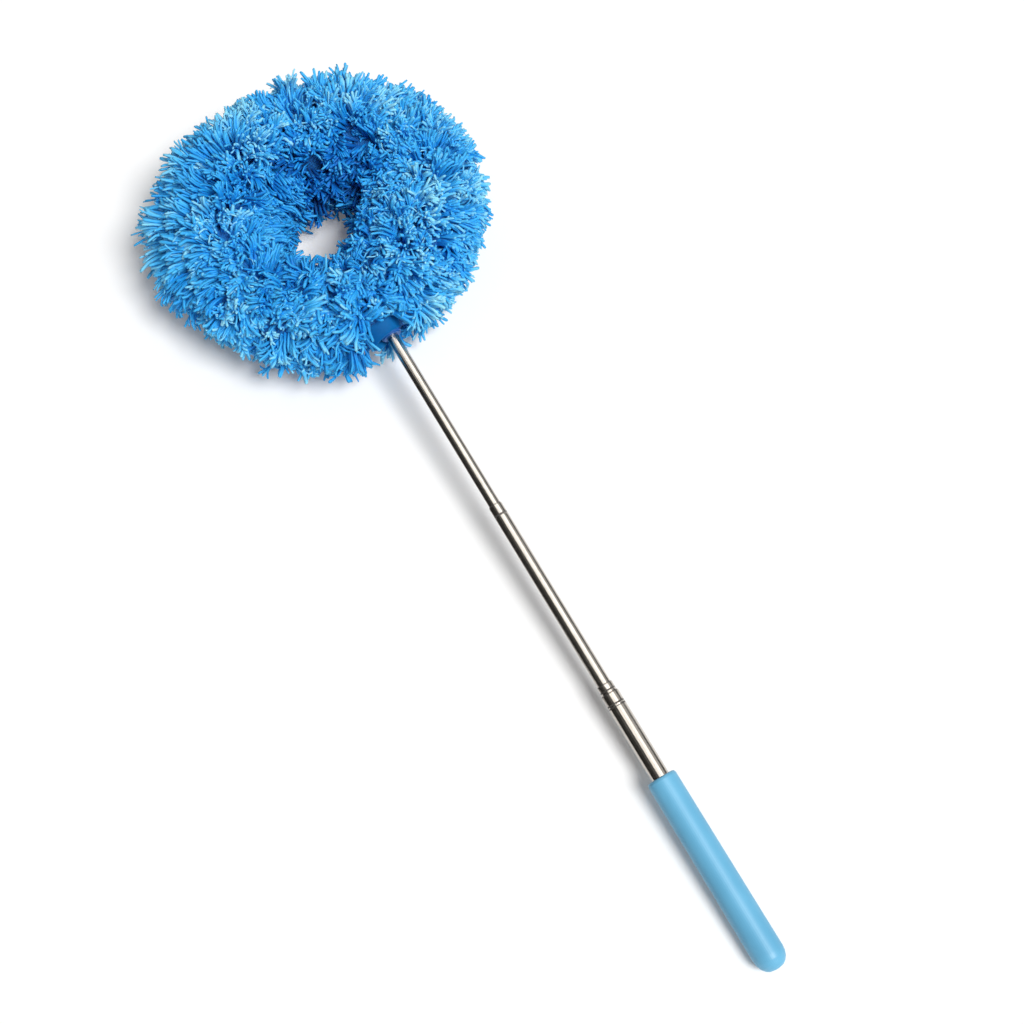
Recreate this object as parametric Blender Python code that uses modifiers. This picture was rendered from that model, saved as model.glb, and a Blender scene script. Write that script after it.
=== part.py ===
"""Ceiling fan duster: a ring of microfibre pile on a telescopic pole with a hand grip.

Metres, +Z up. The duster lies on the plane Z = 0 along Y, with the grip at -Y and the ring at +Y,
and is symmetric about X = 0. It rests on the ring's pile and on the round end of the grip, so the
pole climbs a little towards the ring.
"""

import math

import bmesh
import bpy
from mathutils import Matrix, Vector

# Grip, measured along the pole from its round end
GRIP_LENGTH = 0.1865
GRIP_RIM_RADIUS = 0.0139
GRIP_RADIUS = 0.0146
GRIP_DOME = 0.0145
GRIP_DOME_DEGREES = (0, 18, 36, 54, 70)
GRIP_END_FLAT_RADIUS = 0.0030
GRIP_FLOOR = 0.0080
GRIP_RIM_ROUND = 0.0028
GRIP_FIT = 0.00015

# Telescopic tubes: the smallest one's radius, and what each larger one adds to it
TOP_TUBE_RADIUS = 0.0057
TUBE_WALL = 0.0004
TUBE_GAP = 0.0005
MOUTH_LENGTH = 0.0110
MOUTH_CLEARANCE = 0.00012
MOUTH_LIP = 0.00025
GROOVE_WIDTH = 0.0010
GROOVE_DEPTH = 0.0002

FOOT_LENGTH = 0.0180
FOOT_RAMP = 0.0005
FOOT_CLEARANCE = 0.00012
STOP_CLEARANCE = 0.0003

# How much of each tube shows as the duster lies here. The middle and top ones are pulled out to
# their stops. The lower one is pushed in, and is as long as the base tube has room for, with some
# left over below it.
BASE_SHOWN = 0.085
LOWER_SHOWN = 0.009
LOWER_ROOM = 0.0254
MIDDLE_SHOWN = 0.190
TOP_SHOWN = 0.189
TOP_SEATED = 0.021

# Bush and spring clip at the lower end of each sliding tube, and the plug in the base tube
BUSH_STEM_LENGTH = 0.008
BUSH_HEAD_LENGTH = 0.006
STEM_CLEARANCE = 0.00015
CLIP_LENGTH = 0.0030
CLIP_THICKNESS = 0.0005
CLIP_CLEARANCE = 0.00015
CLIP_END_GAP = 0.0030
PLUG_HEAD_LENGTH = 0.0020

# Neck: two half shells round the top of the pole
NECK_MOUTH_RADIUS = 0.0088
NECK_RADIUS = 0.0115
NECK_SHOULDER = 0.018
NECK_CROWN = 0.007
NECK_CROWN_RADIUS = 0.0060
NECK_CROWN_ROUND_SHARES = (0.5, 0.25)
NECK_SPLIT = 0.0003
SOCKET_CLEARANCE = 0.0002
POCKET_CLEARANCE = 0.0003
FLANGE_THICKNESS = 0.0018
FLANGE_OVERHANG = 0.0010
NECK_PARTITION = 0.0022
COLLAR_LENGTH = 0.0070
COLLAR_THICKNESS = 0.0012
COLLAR_SETBACK = 0.0010
COLLAR_ROUND_SHARE = 0.33
SCREW_RADIUS = 0.0010
SCREW_HEAD_RADIUS = 0.0019
SCREW_HEAD_HEIGHT = 0.0014
SCREW_LENGTH = 0.0150
SCREW_RECESS_RADIUS = 0.0008
SCREW_RECESS_DEPTH = 0.0007
SCREW_SEAT = 0.0080
LOWER_SCREW_BELOW_RING = 0.0115
UPPER_SCREW_ABOVE_RING = 0.0012

# Sleeve of the cover round the neck: half-widths across and upwards, at places above the neck's mouth
SLEEVE_WALL = 0.0010
SLEEVE_MOUTH_HALF = 0.0107
SLEEVE_TOP_HALF_WIDTH = 0.0178
SLEEVE_TOP_HALF_HEIGHT = 0.0150
SLEEVE_TOP = 0.0215
SLEEVE_FLARE_SHARES = ((0.0, 0.0), (0.30, 0.08), (0.62, 0.38), (1.0, 1.0))

# Ring: its centre line is an ellipse that lies flat, nearest the pole at turn 0
RING_HALF_WIDTH = 0.098
RING_HALF_LENGTH = 0.088
RING_HEIGHT = 0.0620
WIRE_RADIUS = 0.0015
WIRE_LEG_SPREAD = 0.0050
WIRE_LEG_END = 0.0200
WIRE_BEND = 0.0080
WIRE_BEND_STEPS = 4
FERRULE_RADIUS = 0.0024
FERRULE_LENGTH = 0.0060
WIRE_CLEARANCE = 0.0003
FOAM_RADIUS = 0.0190
BACKING_WALL = 0.0020
RING_CLEARANCE = 0.0004
COVER_END_THICKNESS = 0.0030

# Pile: slices of the dense inner pile, each with its strands
PILE_SLICES = 16
SLICE_GAP = 0.0003
PILE_OPENING = 0.0163
PILE_BULK = 0.0480
PILE_OUTWARD = 0.0680
PILE_UPWARD = 0.0665
PILE_INWARD = 0.0650
PILE_CUT = 0.0005
STRAND_AROUND_COUNT = 10
STRAND_ROW_COUNT = 3
NECK_STRAND_ROW_COUNT = 2
NOTCH_CLEARANCE = 0.0012
STRAND_TIP_SHARE = 0.34
STRAND_LEAN_ALONG_SHARE = 0.28
STRAND_LEAN_AROUND_SHARE = 0.50
STRAND_UNEVEN_SHARE = 0.10

# Radians from one strand to the next in the waves that make the pile uneven
REACH_WAVE = 2.4
LEAN_ALONG_WAVE = 1.7
LEAN_AROUND_WAVE = 3.1

CUT_OVERRUN = 0.0020
MERGE = 0.00001
TUBE_SIDES = 24
GRIP_SIDES = 48
SMALL_SIDES = 16
RING_STEPS_PER_SLICE = 2
RING_SIDES = 10
NECK_BORE_STEPS = 4
TILT_ROUNDS = 8
EIGHTH_TURN = math.radians(45)

MIDDLE_TUBE_RADIUS = TOP_TUBE_RADIUS + TUBE_GAP + TUBE_WALL
LOWER_TUBE_RADIUS = MIDDLE_TUBE_RADIUS + TUBE_GAP + TUBE_WALL
BASE_TUBE_RADIUS = LOWER_TUBE_RADIUS + TUBE_GAP + TUBE_WALL
BASE_LENGTH = GRIP_LENGTH - GRIP_FLOOR + BASE_SHOWN - PLUG_HEAD_LENGTH - 2 * STEM_CLEARANCE
STOP_LENGTH = MOUTH_LENGTH + GROOVE_WIDTH + FOOT_RAMP + FOOT_LENGTH + STOP_CLEARANCE
LOWER_LENGTH = BASE_LENGTH + LOWER_SHOWN - BUSH_STEM_LENGTH - LOWER_ROOM - BUSH_HEAD_LENGTH
MIDDLE_LENGTH = MIDDLE_SHOWN + STOP_LENGTH
TOP_LENGTH = TOP_SEATED + TOP_SHOWN + STOP_LENGTH
BACKING_RADIUS = FOAM_RADIUS + RING_CLEARANCE + BACKING_WALL
NECK_LENGTH = TOP_SEATED + FLANGE_THICKNESS + NECK_PARTITION + WIRE_LEG_END

# Places along the pole, from the grip's round end
BASE_MOUTH = GRIP_LENGTH + BASE_SHOWN
LOWER_MOUTH = BASE_MOUTH + LOWER_SHOWN
MIDDLE_MOUTH = LOWER_MOUTH + MIDDLE_SHOWN
NECK_MOUTH = MIDDLE_MOUTH + TOP_SHOWN
POLE_LENGTH = NECK_MOUTH + NECK_LENGTH

parts = bpy.data.collections.new("Ceiling fan duster")
cutters = bpy.data.collections.new("Cutters")


def clear_scene():
    for obj in list(bpy.data.objects):
        bpy.data.objects.remove(obj, do_unlink=True)
    for collection in (parts, cutters):
        bpy.context.scene.collection.children.link(collection)
    cutters.hide_render = True


def material(name, color, roughness, metallic=0.0):
    made = bpy.data.materials.new(name)
    made.use_nodes = True
    shader = made.node_tree.nodes["Principled BSDF"]
    shader.inputs["Base Color"].default_value = (*color, 1)
    shader.inputs["Roughness"].default_value = roughness
    shader.inputs["Metallic"].default_value = metallic
    return made


def new_object(name, mesh, finish=None):
    """An object of the part. Without a finish it is a cutter, which shows as a wire."""
    obj = bpy.data.objects.new(name, mesh)
    if finish is None:
        cutters.objects.link(obj)
        obj.hide_render = True
        obj.display_type = "WIRE"
        return obj
    parts.objects.link(obj)
    mesh.materials.clear()
    mesh.materials.append(finish)
    return obj


def object_from(name, bm, finish=None):
    mesh = bpy.data.meshes.new(name)
    bm.to_mesh(mesh)
    bm.free()
    mesh.shade_smooth()
    mesh.set_sharp_from_angle(angle=EIGHTH_TURN)
    return new_object(name, mesh, finish)


def place(obj, parent, along=0.0):
    """Put a piece that is made round local Z on the pole, at this place along it."""
    obj.parent = parent
    obj.location = (0, 0, along - parent["along"])


def attach(obj, parent):
    """Parent a piece that already lies where it belongs."""
    obj.parent = parent
    obj.matrix_parent_inverse = parent.matrix_world.inverted()


def cut(obj, cutter, operation="DIFFERENCE"):
    modifier = obj.modifiers.new(cutter.name, "BOOLEAN")
    modifier.operation = operation
    modifier.object = cutter


def turned(name, profile, finish=None, sides=TUBE_SIDES, closed=False):
    """A turned shape. Its (radius, height) profile runs down the outside, and back up any bore."""
    mesh = bpy.data.meshes.new(name)
    bm = bmesh.new()
    points = [bm.verts.new((radius, 0, height)) for radius, height in profile]
    for first, second in zip(points, points[1:]):
        bm.edges.new((first, second))
    if closed:
        bm.edges.new((points[-1], points[0]))
    bm.to_mesh(mesh)
    bm.free()
    obj = new_object(name, mesh, finish)
    screw = obj.modifiers.new("Screw", "SCREW")
    screw.steps = sides
    screw.render_steps = sides
    screw.use_merge_vertices = True
    screw.merge_threshold = MERGE
    screw.use_smooth_shade = True
    return obj


def box(name, width, depth, height):
    bm = bmesh.new()
    bmesh.ops.create_cube(bm, size=1)
    bmesh.ops.transform(bm, matrix=Matrix.Diagonal((width, depth, height, 1)), verts=bm.verts)
    return object_from(name, bm)


def rod(name, radius, bottom, top, finish=None, sides=SMALL_SIDES):
    return turned(name, [(0, top), (radius, top), (radius, bottom), (0, bottom)], finish, sides)


def tube_along(name, points, radius, finish=None, resolution=3):
    """A round bar along these points, made a mesh so that it can be cut or cut with."""
    curve = bpy.data.curves.new(name, "CURVE")
    curve.dimensions = "3D"
    curve.bevel_depth = radius
    curve.bevel_resolution = resolution
    curve.use_fill_caps = True
    spline = curve.splines.new("POLY")
    spline.points.add(len(points) - 1)
    for target, point in zip(spline.points, points):
        target.co = point.to_4d()
    guide = bpy.data.objects.new(name + "_path", curve)
    parts.objects.link(guide)
    bpy.context.view_layer.update()
    graph = bpy.context.evaluated_depsgraph_get()
    mesh = bpy.data.meshes.new_from_object(guide.evaluated_get(graph))
    bpy.data.objects.remove(guide)
    bm = bmesh.new()
    bm.from_mesh(mesh)
    bmesh.ops.remove_doubles(bm, verts=bm.verts, dist=MERGE)
    return object_from(name, bm, finish)


# The pole: a line in the plane X = 0 that climbs from the grip's end to the ring's centre line


def grip_outline():
    """(radius, height) down the outside of the grip, from its rim to its round end."""
    arc = [math.radians(step) for step in GRIP_DOME_DEGREES]
    reach = GRIP_RADIUS - GRIP_END_FLAT_RADIUS
    dome = [
        (GRIP_END_FLAT_RADIUS + reach * math.cos(a), GRIP_DOME * (1 - math.sin(a))) for a in arc
    ]
    return [
        (GRIP_RIM_RADIUS - GRIP_RIM_ROUND, GRIP_LENGTH),
        (
            GRIP_RIM_RADIUS - GRIP_RIM_ROUND * (1 - math.sin(EIGHTH_TURN)),
            GRIP_LENGTH - GRIP_RIM_ROUND * (1 - math.cos(EIGHTH_TURN)),
        ),
        (GRIP_RIM_RADIUS, GRIP_LENGTH - GRIP_RIM_ROUND),
        *dome,
        (GRIP_END_FLAT_RADIUS, 0),
    ]


def grip_end_height(tilt):
    """Height of the pole's axis at the grip's end, with the grip's lowest point on the floor."""
    return max(
        radius * math.cos(tilt) - height * math.sin(tilt) for radius, height in grip_outline()
    )


def pole_tilt():
    tilt = 0.0
    for _ in range(TILT_ROUNDS):
        tilt = math.asin((RING_HEIGHT - grip_end_height(tilt)) / POLE_LENGTH)
    return tilt


TILT = pole_tilt()
POLE = Vector((0, math.cos(TILT), math.sin(TILT)))
NEAR_Y = 0.5 * (POLE_LENGTH * math.cos(TILT) - 2 * RING_HALF_LENGTH - PILE_OUTWARD)
RING_NEAR = Vector((0, NEAR_Y, RING_HEIGHT))
POLE_START = RING_NEAR - POLE * POLE_LENGTH


def pole_frame(name, along, parent=None):
    """An empty on the pole's axis, its local Z along the pole. Moving sections hang from one each."""
    empty = bpy.data.objects.new(name, None)
    parts.objects.link(empty)
    empty["along"] = along
    if parent is None:
        empty.location = POLE_START + POLE * along
        empty.rotation_euler = (TILT - math.radians(90), 0, 0)
    else:
        place(empty, parent, along)
    return empty


# Handle


def make_grip(finish):
    bore = BASE_TUBE_RADIUS + GRIP_FIT
    profile = [(bore, GRIP_LENGTH), *grip_outline(), (0, 0), (0, GRIP_FLOOR), (bore, GRIP_FLOOR)]
    return turned("grip", profile, finish, GRIP_SIDES, closed=True)


def foot_radius(radius):
    """A sliding tube's lower end is flared, so that it can't leave the narrow mouth it slides in."""
    return radius + TUBE_GAP - FOOT_CLEARANCE


def make_tube(name, radius, length, finish, inner_radius=None, footed=True):
    """A tube's wall, down the outside and up the bore. Its mouth has a rounded lip and a rolled
    groove, and narrows inside to guide the tube in it."""
    bore = radius - TUBE_WALL
    groove = length - MOUTH_LENGTH
    if inner_radius is None:
        outside, inside = [(radius, length)], [(bore, length)]
    else:
        mouth_bore = inner_radius + MOUTH_CLEARANCE
        outside = [
            (radius - MOUTH_LIP, length),
            (radius, length - MOUTH_LIP),
            (radius, groove),
            (radius - GROOVE_DEPTH, groove - GROOVE_WIDTH / 2),
            (radius, groove - GROOVE_WIDTH),
        ]
        inside = [(bore, groove - GROOVE_WIDTH), (mouth_bore, groove), (mouth_bore, length)]
    if footed:
        foot = foot_radius(radius)
        ramp_top = FOOT_LENGTH + FOOT_RAMP
        outside += [(radius, ramp_top), (foot, FOOT_LENGTH), (foot, 0)]
        inside = [(foot - TUBE_WALL, 0), (foot - TUBE_WALL, FOOT_LENGTH), (bore, ramp_top)] + inside
    else:
        outside += [(radius, 0)]
        inside = [(bore, 0)] + inside
    return turned(name, outside + inside, finish, closed=True)


def make_base_plug(finish):
    stem = BASE_TUBE_RADIUS - TUBE_WALL - STEM_CLEARANCE
    profile = [
        (0, BUSH_STEM_LENGTH),
        (stem, BUSH_STEM_LENGTH),
        (stem, 0),
        (BASE_TUBE_RADIUS, 0),
        (BASE_TUBE_RADIUS, -PLUG_HEAD_LENGTH),
        (0, -PLUG_HEAD_LENGTH),
    ]
    return turned("base_plug", profile, finish)


# Bush and spring clip of a sliding tube; height 0 is the tube's lower end


def make_bush(name, radius, finish):
    head = foot_radius(radius)
    stem = head - TUBE_WALL - STEM_CLEARANCE
    floor = clip_bore(radius) - CLIP_CLEARANCE
    groove_top = clip_top()
    groove_bottom = groove_top - CLIP_LENGTH - 2 * CLIP_CLEARANCE
    top = -STEM_CLEARANCE
    profile = [
        (0, BUSH_STEM_LENGTH),
        (stem, BUSH_STEM_LENGTH),
        (stem, top),
        (head, top),
        (head, groove_top),
        (floor, groove_top),
        (floor, groove_bottom),
        (head, groove_bottom),
        (head, -BUSH_HEAD_LENGTH),
        (0, -BUSH_HEAD_LENGTH),
    ]
    return turned(name, profile, finish)


def clip_bore(radius):
    """The clip's outside runs in the next tube, a clearance short of its bore."""
    return radius + TUBE_GAP - CLIP_CLEARANCE - CLIP_THICKNESS


def clip_top():
    return -(BUSH_HEAD_LENGTH - CLIP_LENGTH) / 2 + CLIP_CLEARANCE


def make_clip(name, radius, finish):
    bore = clip_bore(radius)
    outer = bore + CLIP_THICKNESS
    top = clip_top() - CLIP_CLEARANCE
    bottom = top - CLIP_LENGTH
    profile = [(outer, top), (outer, bottom), (bore, bottom), (bore, top)]
    clip = turned(name, profile, finish, closed=True)
    reach = outer + CUT_OVERRUN
    slot = box(name + "_slot", CLIP_END_GAP, reach, CLIP_LENGTH + 2 * CUT_OVERRUN)
    slot.location = (0, reach / 2, top - CLIP_LENGTH / 2)
    slot.parent = clip
    cut(clip, slot)
    return clip


# Neck; heights are measured from its mouth


def make_neck_plug(finish):
    """Its stem is in the top tube, and its flange, wider than the tube, is trapped in the neck."""
    stem = TOP_TUBE_RADIUS - TUBE_WALL - STEM_CLEARANCE
    flange = TOP_TUBE_RADIUS + FLANGE_OVERHANG
    profile = [
        (0, FLANGE_THICKNESS),
        (flange, FLANGE_THICKNESS),
        (flange, STEM_CLEARANCE),
        (stem, STEM_CLEARANCE),
        (stem, -BUSH_STEM_LENGTH),
        (0, -BUSH_STEM_LENGTH),
    ]
    return turned("neck_plug", profile, finish)


def neck_profile():
    crown = NECK_LENGTH + NECK_CROWN
    across_share, down_share = NECK_CROWN_ROUND_SHARES
    round_radius = NECK_CROWN_RADIUS + (NECK_RADIUS - NECK_CROWN_RADIUS) * across_share
    seat = COLLAR_SETBACK + COLLAR_LENGTH + POCKET_CLEARANCE
    return [
        (0, crown),
        (NECK_CROWN_RADIUS, crown),
        (round_radius, crown - NECK_CROWN * down_share),
        (NECK_RADIUS, NECK_LENGTH),
        (NECK_RADIUS, NECK_SHOULDER),
        (NECK_MOUTH_RADIUS + COLLAR_THICKNESS / 2, seat),
        (NECK_MOUTH_RADIUS, seat),
        (NECK_MOUTH_RADIUS, 0),
        (0, 0),
    ]


def make_half_space(name, side):
    """Keeps the neck's half on this side of its parting plane, less half the gap there."""
    width = 2 * NECK_RADIUS + 2 * CUT_OVERRUN
    height = NECK_LENGTH + NECK_CROWN + 2 * CUT_OVERRUN
    half = box(name, width, width, height)
    half.location = (0, side * (width + NECK_SPLIT) / 2, height / 2 - CUT_OVERRUN)
    return half


def make_socket(name):
    """Room in the shells for the top tube's end and, above it, for the plug's flange."""
    bore = TOP_TUBE_RADIUS + SOCKET_CLEARANCE
    pocket = TOP_TUBE_RADIUS + FLANGE_OVERHANG + POCKET_CLEARANCE
    ledge = TOP_SEATED - SOCKET_CLEARANCE
    roof = TOP_SEATED + FLANGE_THICKNESS + POCKET_CLEARANCE
    profile = [
        (0, roof),
        (pocket, roof),
        (pocket, ledge),
        (bore, ledge),
        (bore, -CUT_OVERRUN),
        (0, -CUT_OVERRUN),
    ]
    return turned(name, profile)


def make_screw(name, finish):
    """Its axis is local Z, with the head at the top and a round driving recess in it."""
    profile = [
        (0, SCREW_HEAD_HEIGHT - SCREW_RECESS_DEPTH),
        (SCREW_RECESS_RADIUS, SCREW_HEAD_HEIGHT - SCREW_RECESS_DEPTH),
        (SCREW_RECESS_RADIUS, SCREW_HEAD_HEIGHT),
        (SCREW_HEAD_RADIUS, SCREW_HEAD_HEIGHT),
        (SCREW_HEAD_RADIUS, 0),
        (SCREW_RADIUS, 0),
        (SCREW_RADIUS, -SCREW_LENGTH),
        (0, -SCREW_LENGTH),
    ]
    return turned(name, profile, finish, SMALL_SIDES)


def make_screw_hole(name):
    """The screw's room in the shells: shank, and a counterbore that runs out past the surface."""
    shank = SCREW_RADIUS + POCKET_CLEARANCE
    head = SCREW_HEAD_RADIUS + POCKET_CLEARANCE
    out = SCREW_HEAD_HEIGHT + NECK_RADIUS
    profile = [
        (0, out),
        (head, out),
        (head, -POCKET_CLEARANCE),
        (shank, -POCKET_CLEARANCE),
        (shank, -SCREW_LENGTH - POCKET_CLEARANCE),
        (0, -SCREW_LENGTH - POCKET_CLEARANCE),
    ]
    return turned(name, profile, None, SMALL_SIDES)


def make_collar(finish):
    bore = NECK_MOUTH_RADIUS + SOCKET_CLEARANCE
    outer = bore + COLLAR_THICKNESS
    round_off = COLLAR_THICKNESS * COLLAR_ROUND_SHARE
    profile = [
        (outer - round_off, COLLAR_LENGTH),
        (outer, COLLAR_LENGTH - round_off),
        (outer, round_off),
        (outer - round_off, 0),
        (bore, 0),
        (bore, COLLAR_LENGTH),
    ]
    return turned("neck_collar", profile, finish, closed=True)


def make_sleeve(finish):
    """A flared oval cuff: rings of the same count of points, from its mouth up to the cover."""
    bm = bmesh.new()
    bmesh.ops.create_circle(bm, segments=TUBE_SIDES, radius=1)
    rings = [list(bm.verts)]
    for _ in SLEEVE_FLARE_SHARES[1:]:
        edges = [edge for edge in bm.edges if all(vert in rings[-1] for vert in edge.verts)]
        made = bmesh.ops.extrude_edge_only(bm, edges=edges)["geom"]
        rings.append([item for item in made if isinstance(item, bmesh.types.BMVert)])
    extra_width = SLEEVE_TOP_HALF_WIDTH - SLEEVE_MOUTH_HALF
    extra_height = SLEEVE_TOP_HALF_HEIGHT - SLEEVE_MOUTH_HALF
    for ring, (height_share, flare_share) in zip(rings, SLEEVE_FLARE_SHARES):
        for vert in ring:
            vert.co.x *= SLEEVE_MOUTH_HALF + flare_share * extra_width
            vert.co.y *= SLEEVE_MOUTH_HALF + flare_share * extra_height
            vert.co.z = height_share * SLEEVE_TOP
    sleeve = object_from("neck_sleeve", bm, finish)
    shell = sleeve.modifiers.new("Solidify", "SOLIDIFY")
    shell.thickness = SLEEVE_WALL
    shell.offset = 1
    return sleeve


# Ring


def on_ring(turn, around=0.0, reach=0.0):
    """A point of the ring. turn is the angle along it from the pole, around is the angle about its
    centre line, 0 outwards and 90 degrees up, and reach is the distance from the centre line."""
    centre = RING_NEAR + Vector(
        (RING_HALF_WIDTH * math.sin(turn), RING_HALF_LENGTH * (1 - math.cos(turn)), 0)
    )
    outward = Vector(
        (RING_HALF_LENGTH * math.sin(turn), -RING_HALF_WIDTH * math.cos(turn), 0)
    ).normalized()
    up = Vector((0, 0, 1))
    return centre + reach * (math.cos(around) * outward + math.sin(around) * up)


def opening_turn(half_width):
    """The turn at which the centre line is this far to the side of the pole."""
    return math.asin(half_width / RING_HALF_WIDTH)


def turns_between(start, end, steps):
    return [start + (end - start) * step / steps for step in range(steps + 1)]


def ring_points(start, end, steps):
    return [on_ring(turn) for turn in turns_between(start, end, steps)]


PILE_START = opening_turn(PILE_OPENING)
FOAM_START = opening_turn(PILE_OPENING + COVER_END_THICKNESS + RING_CLEARANCE)
FULL_TURN = math.radians(360)
RING_STEPS = PILE_SLICES * RING_STEPS_PER_SLICE


def wire_path():
    """Up the left leg, round the bend on to the ring, all the way round and down the right leg."""
    bend_turn = opening_turn(WIRE_LEG_SPREAD + WIRE_BEND)
    bend_place = on_ring(bend_turn) - RING_NEAR
    side = []
    for along in (WIRE_LEG_END, (WIRE_LEG_END + WIRE_BEND) / 2):
        side.append(RING_NEAR - POLE * along + Vector((WIRE_LEG_SPREAD, 0, 0)))
    for step in range(WIRE_BEND_STEPS):
        angle = math.radians(90) * step / WIRE_BEND_STEPS
        x = WIRE_LEG_SPREAD + WIRE_BEND * (1 - math.cos(angle))
        down = WIRE_BEND * (1 - math.sin(angle))
        side.append(RING_NEAR - POLE * down + Vector((x, bend_place.y * math.sin(angle), 0)))
    side.append(on_ring(bend_turn))
    mirrored = [Vector((-point.x, point.y, point.z)) for point in side]
    return side + ring_points(FOAM_START, FULL_TURN - FOAM_START, RING_STEPS) + mirrored[::-1]


def make_wire(finish):
    wire = tube_along("ring_wire", wire_path(), WIRE_RADIUS, finish, 2)
    channel = tube_along("wire_channel", wire_path(), WIRE_RADIUS + WIRE_CLEARANCE, None, 2)
    return wire, channel


def make_ferrule(name, finish):
    bore = WIRE_RADIUS + WIRE_CLEARANCE
    top = FERRULE_LENGTH
    profile = [(FERRULE_RADIUS, top), (FERRULE_RADIUS, 0), (bore, 0), (bore, top)]
    return turned(name, profile, finish, SMALL_SIDES, closed=True)


def straight_prism(sides, steps):
    """A unit prism along Z in this many steps, with a side face underneath."""
    bm = bmesh.new()
    bmesh.ops.create_cone(bm, cap_ends=True, segments=sides, radius1=1, radius2=1, depth=1)
    underneath = Vector((0, -1, 0))
    first = min(bm.verts, key=lambda vert: (vert.co - underneath).length)
    if math.isclose(first.co.x, 0, abs_tol=MERGE):
        half_side = Matrix.Rotation(math.radians(180) / sides, 3, "Z")
        bmesh.ops.rotate(bm, cent=(0, 0, 0), matrix=half_side, verts=bm.verts)
    upright = [edge for edge in bm.edges if edge.verts[0].co.z != edge.verts[1].co.z]
    if steps > 1:
        bmesh.ops.subdivide_edges(bm, edges=upright, cuts=steps - 1, use_grid_fill=True)
    return bm


def places_of(bm, reach):
    """Where each corner of a straight prism goes on the ring: share of the way, angle and reach."""
    return {
        vert: (vert.co.z + 1 / 2, math.atan2(vert.co.y, vert.co.x), reach) for vert in bm.verts
    }


def bend(bm, places, start, end):
    """Round the ring. That also mirrors the prism, so its faces are turned to point out again."""
    for vert, (share, around, reach) in places.items():
        vert.co = on_ring(start + (end - start) * share, around, reach)
    bmesh.ops.reverse_faces(bm, faces=bm.faces)


def bent_bar(name, start, end, steps, radius, finish=None):
    bm = straight_prism(RING_SIDES, steps)
    bend(bm, places_of(bm, radius), start, end)
    return object_from(name, bm, finish)


def make_ring_tube(name, start, end, steps, radius, bore, finish):
    """A tube round the ring, bored along its whole length by a thinner bar that overruns its ends."""
    tube = bent_bar(name, start, end, steps, radius, finish)
    step = (end - start) / steps
    bore_tool = bent_bar(name + "_bore", start - step, end + step, steps + 2, bore)
    cut(tube, bore_tool)
    return tube, bore_tool


def pile_reach(around, wave):
    """How far a strand stands out, by its direction. Those right under the ring are pressed flat by
    the floor, and the rest are a little uneven."""
    if is_underneath(around):
        tip_half_angle = math.radians(180) / STRAND_AROUND_COUNT * STRAND_TIP_SHARE
        return (RING_HEIGHT + PILE_CUT) / math.cos(tip_half_angle)
    side = PILE_OUTWARD if math.cos(around) > 0 else PILE_INWARD
    reach = side + (PILE_UPWARD - side) * max(0.0, math.sin(around))
    return reach * (1 - STRAND_UNEVEN_SHARE * (1 + wave) / 2)


def is_underneath(around):
    return math.sin(around) < -math.cos(math.radians(90) / STRAND_AROUND_COUNT)


def make_pile(name, start, end, row_count, first_strand, bore_tool, finish, notched=False):
    """A slice of the pile. It starts as a straight prism whose side faces are pulled out into
    strands. Then each corner is taken to its place on the ring by its turn, its angle round the
    centre line and its reach, so that no strand leaves its own cell and none cross. A notched
    slice has no strands where the pole comes in."""
    bm = straight_prism(STRAND_AROUND_COUNT, row_count)
    half_cell = math.radians(180) / STRAND_AROUND_COUNT
    places = places_of(bm, PILE_BULK)
    cells = [face for face in bm.faces if len(face.verts) == 4]
    if notched:
        cells = [face for face in cells if face.calc_center_median().x < math.cos(2 * half_cell)]
    strands = bmesh.ops.extrude_discrete_faces(bm, faces=cells)["faces"]
    for strand, face in enumerate(strands, first_strand):
        middle = face.calc_center_median()
        middle_around = math.atan2(middle.y, middle.x)
        reach = pile_reach(middle_around, math.sin(REACH_WAVE * strand))
        lean_along = STRAND_LEAN_ALONG_SHARE * math.sin(LEAN_ALONG_WAVE * strand)
        lean_around = STRAND_LEAN_AROUND_SHARE * math.cos(LEAN_AROUND_WAVE * strand)
        if is_underneath(middle_around):
            lean_around = 0
        for vert in face.verts:
            side = 1 if (middle.x * vert.co.y - middle.y * vert.co.x) > 0 else -1
            along = (vert.co.z - middle.z) * STRAND_TIP_SHARE + lean_along / row_count
            around = middle_around + half_cell * (side * STRAND_TIP_SHARE + lean_around)
            places[vert] = (middle.z + 1 / 2 + along, around, reach)
    bend(bm, places, start, end)
    everything = bm.verts[:] + bm.edges[:] + bm.faces[:]
    floor = bmesh.ops.bisect_plane(
        bm, geom=everything, dist=MERGE / 10, plane_no=(0, 0, -1), clear_outer=True
    )["geom_cut"]
    rims = [item for item in floor if isinstance(item, bmesh.types.BMEdge)]
    bmesh.ops.holes_fill(bm, edges=rims, sides=0)
    pile = object_from(name, bm, finish)
    cut(pile, bore_tool)
    return pile


def build_handle(handle, steel, grip_blue, nylon):
    base_start = BASE_MOUTH - BASE_LENGTH
    base_tube = make_tube(
        "base_tube", BASE_TUBE_RADIUS, BASE_LENGTH, steel, LOWER_TUBE_RADIUS, footed=False
    )
    place(base_tube, handle, base_start)
    place(make_base_plug(nylon), handle, base_start - STEM_CLEARANCE)
    place(make_grip(grip_blue), handle)


def build_section(name, radius, length, inner_radius, start, slide, turn, steel, spring, nylon):
    """A sliding tube with its bush and its spring clip. The tube hangs from turn, which may turn in
    the bush, and the other two from slide."""
    place(make_tube(name, radius, length, steel, inner_radius), turn, start)
    place(make_bush(name + "_bush", radius, nylon), slide, start)
    place(make_clip(name + "_spring_clip", radius, spring), slide, start)


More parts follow.
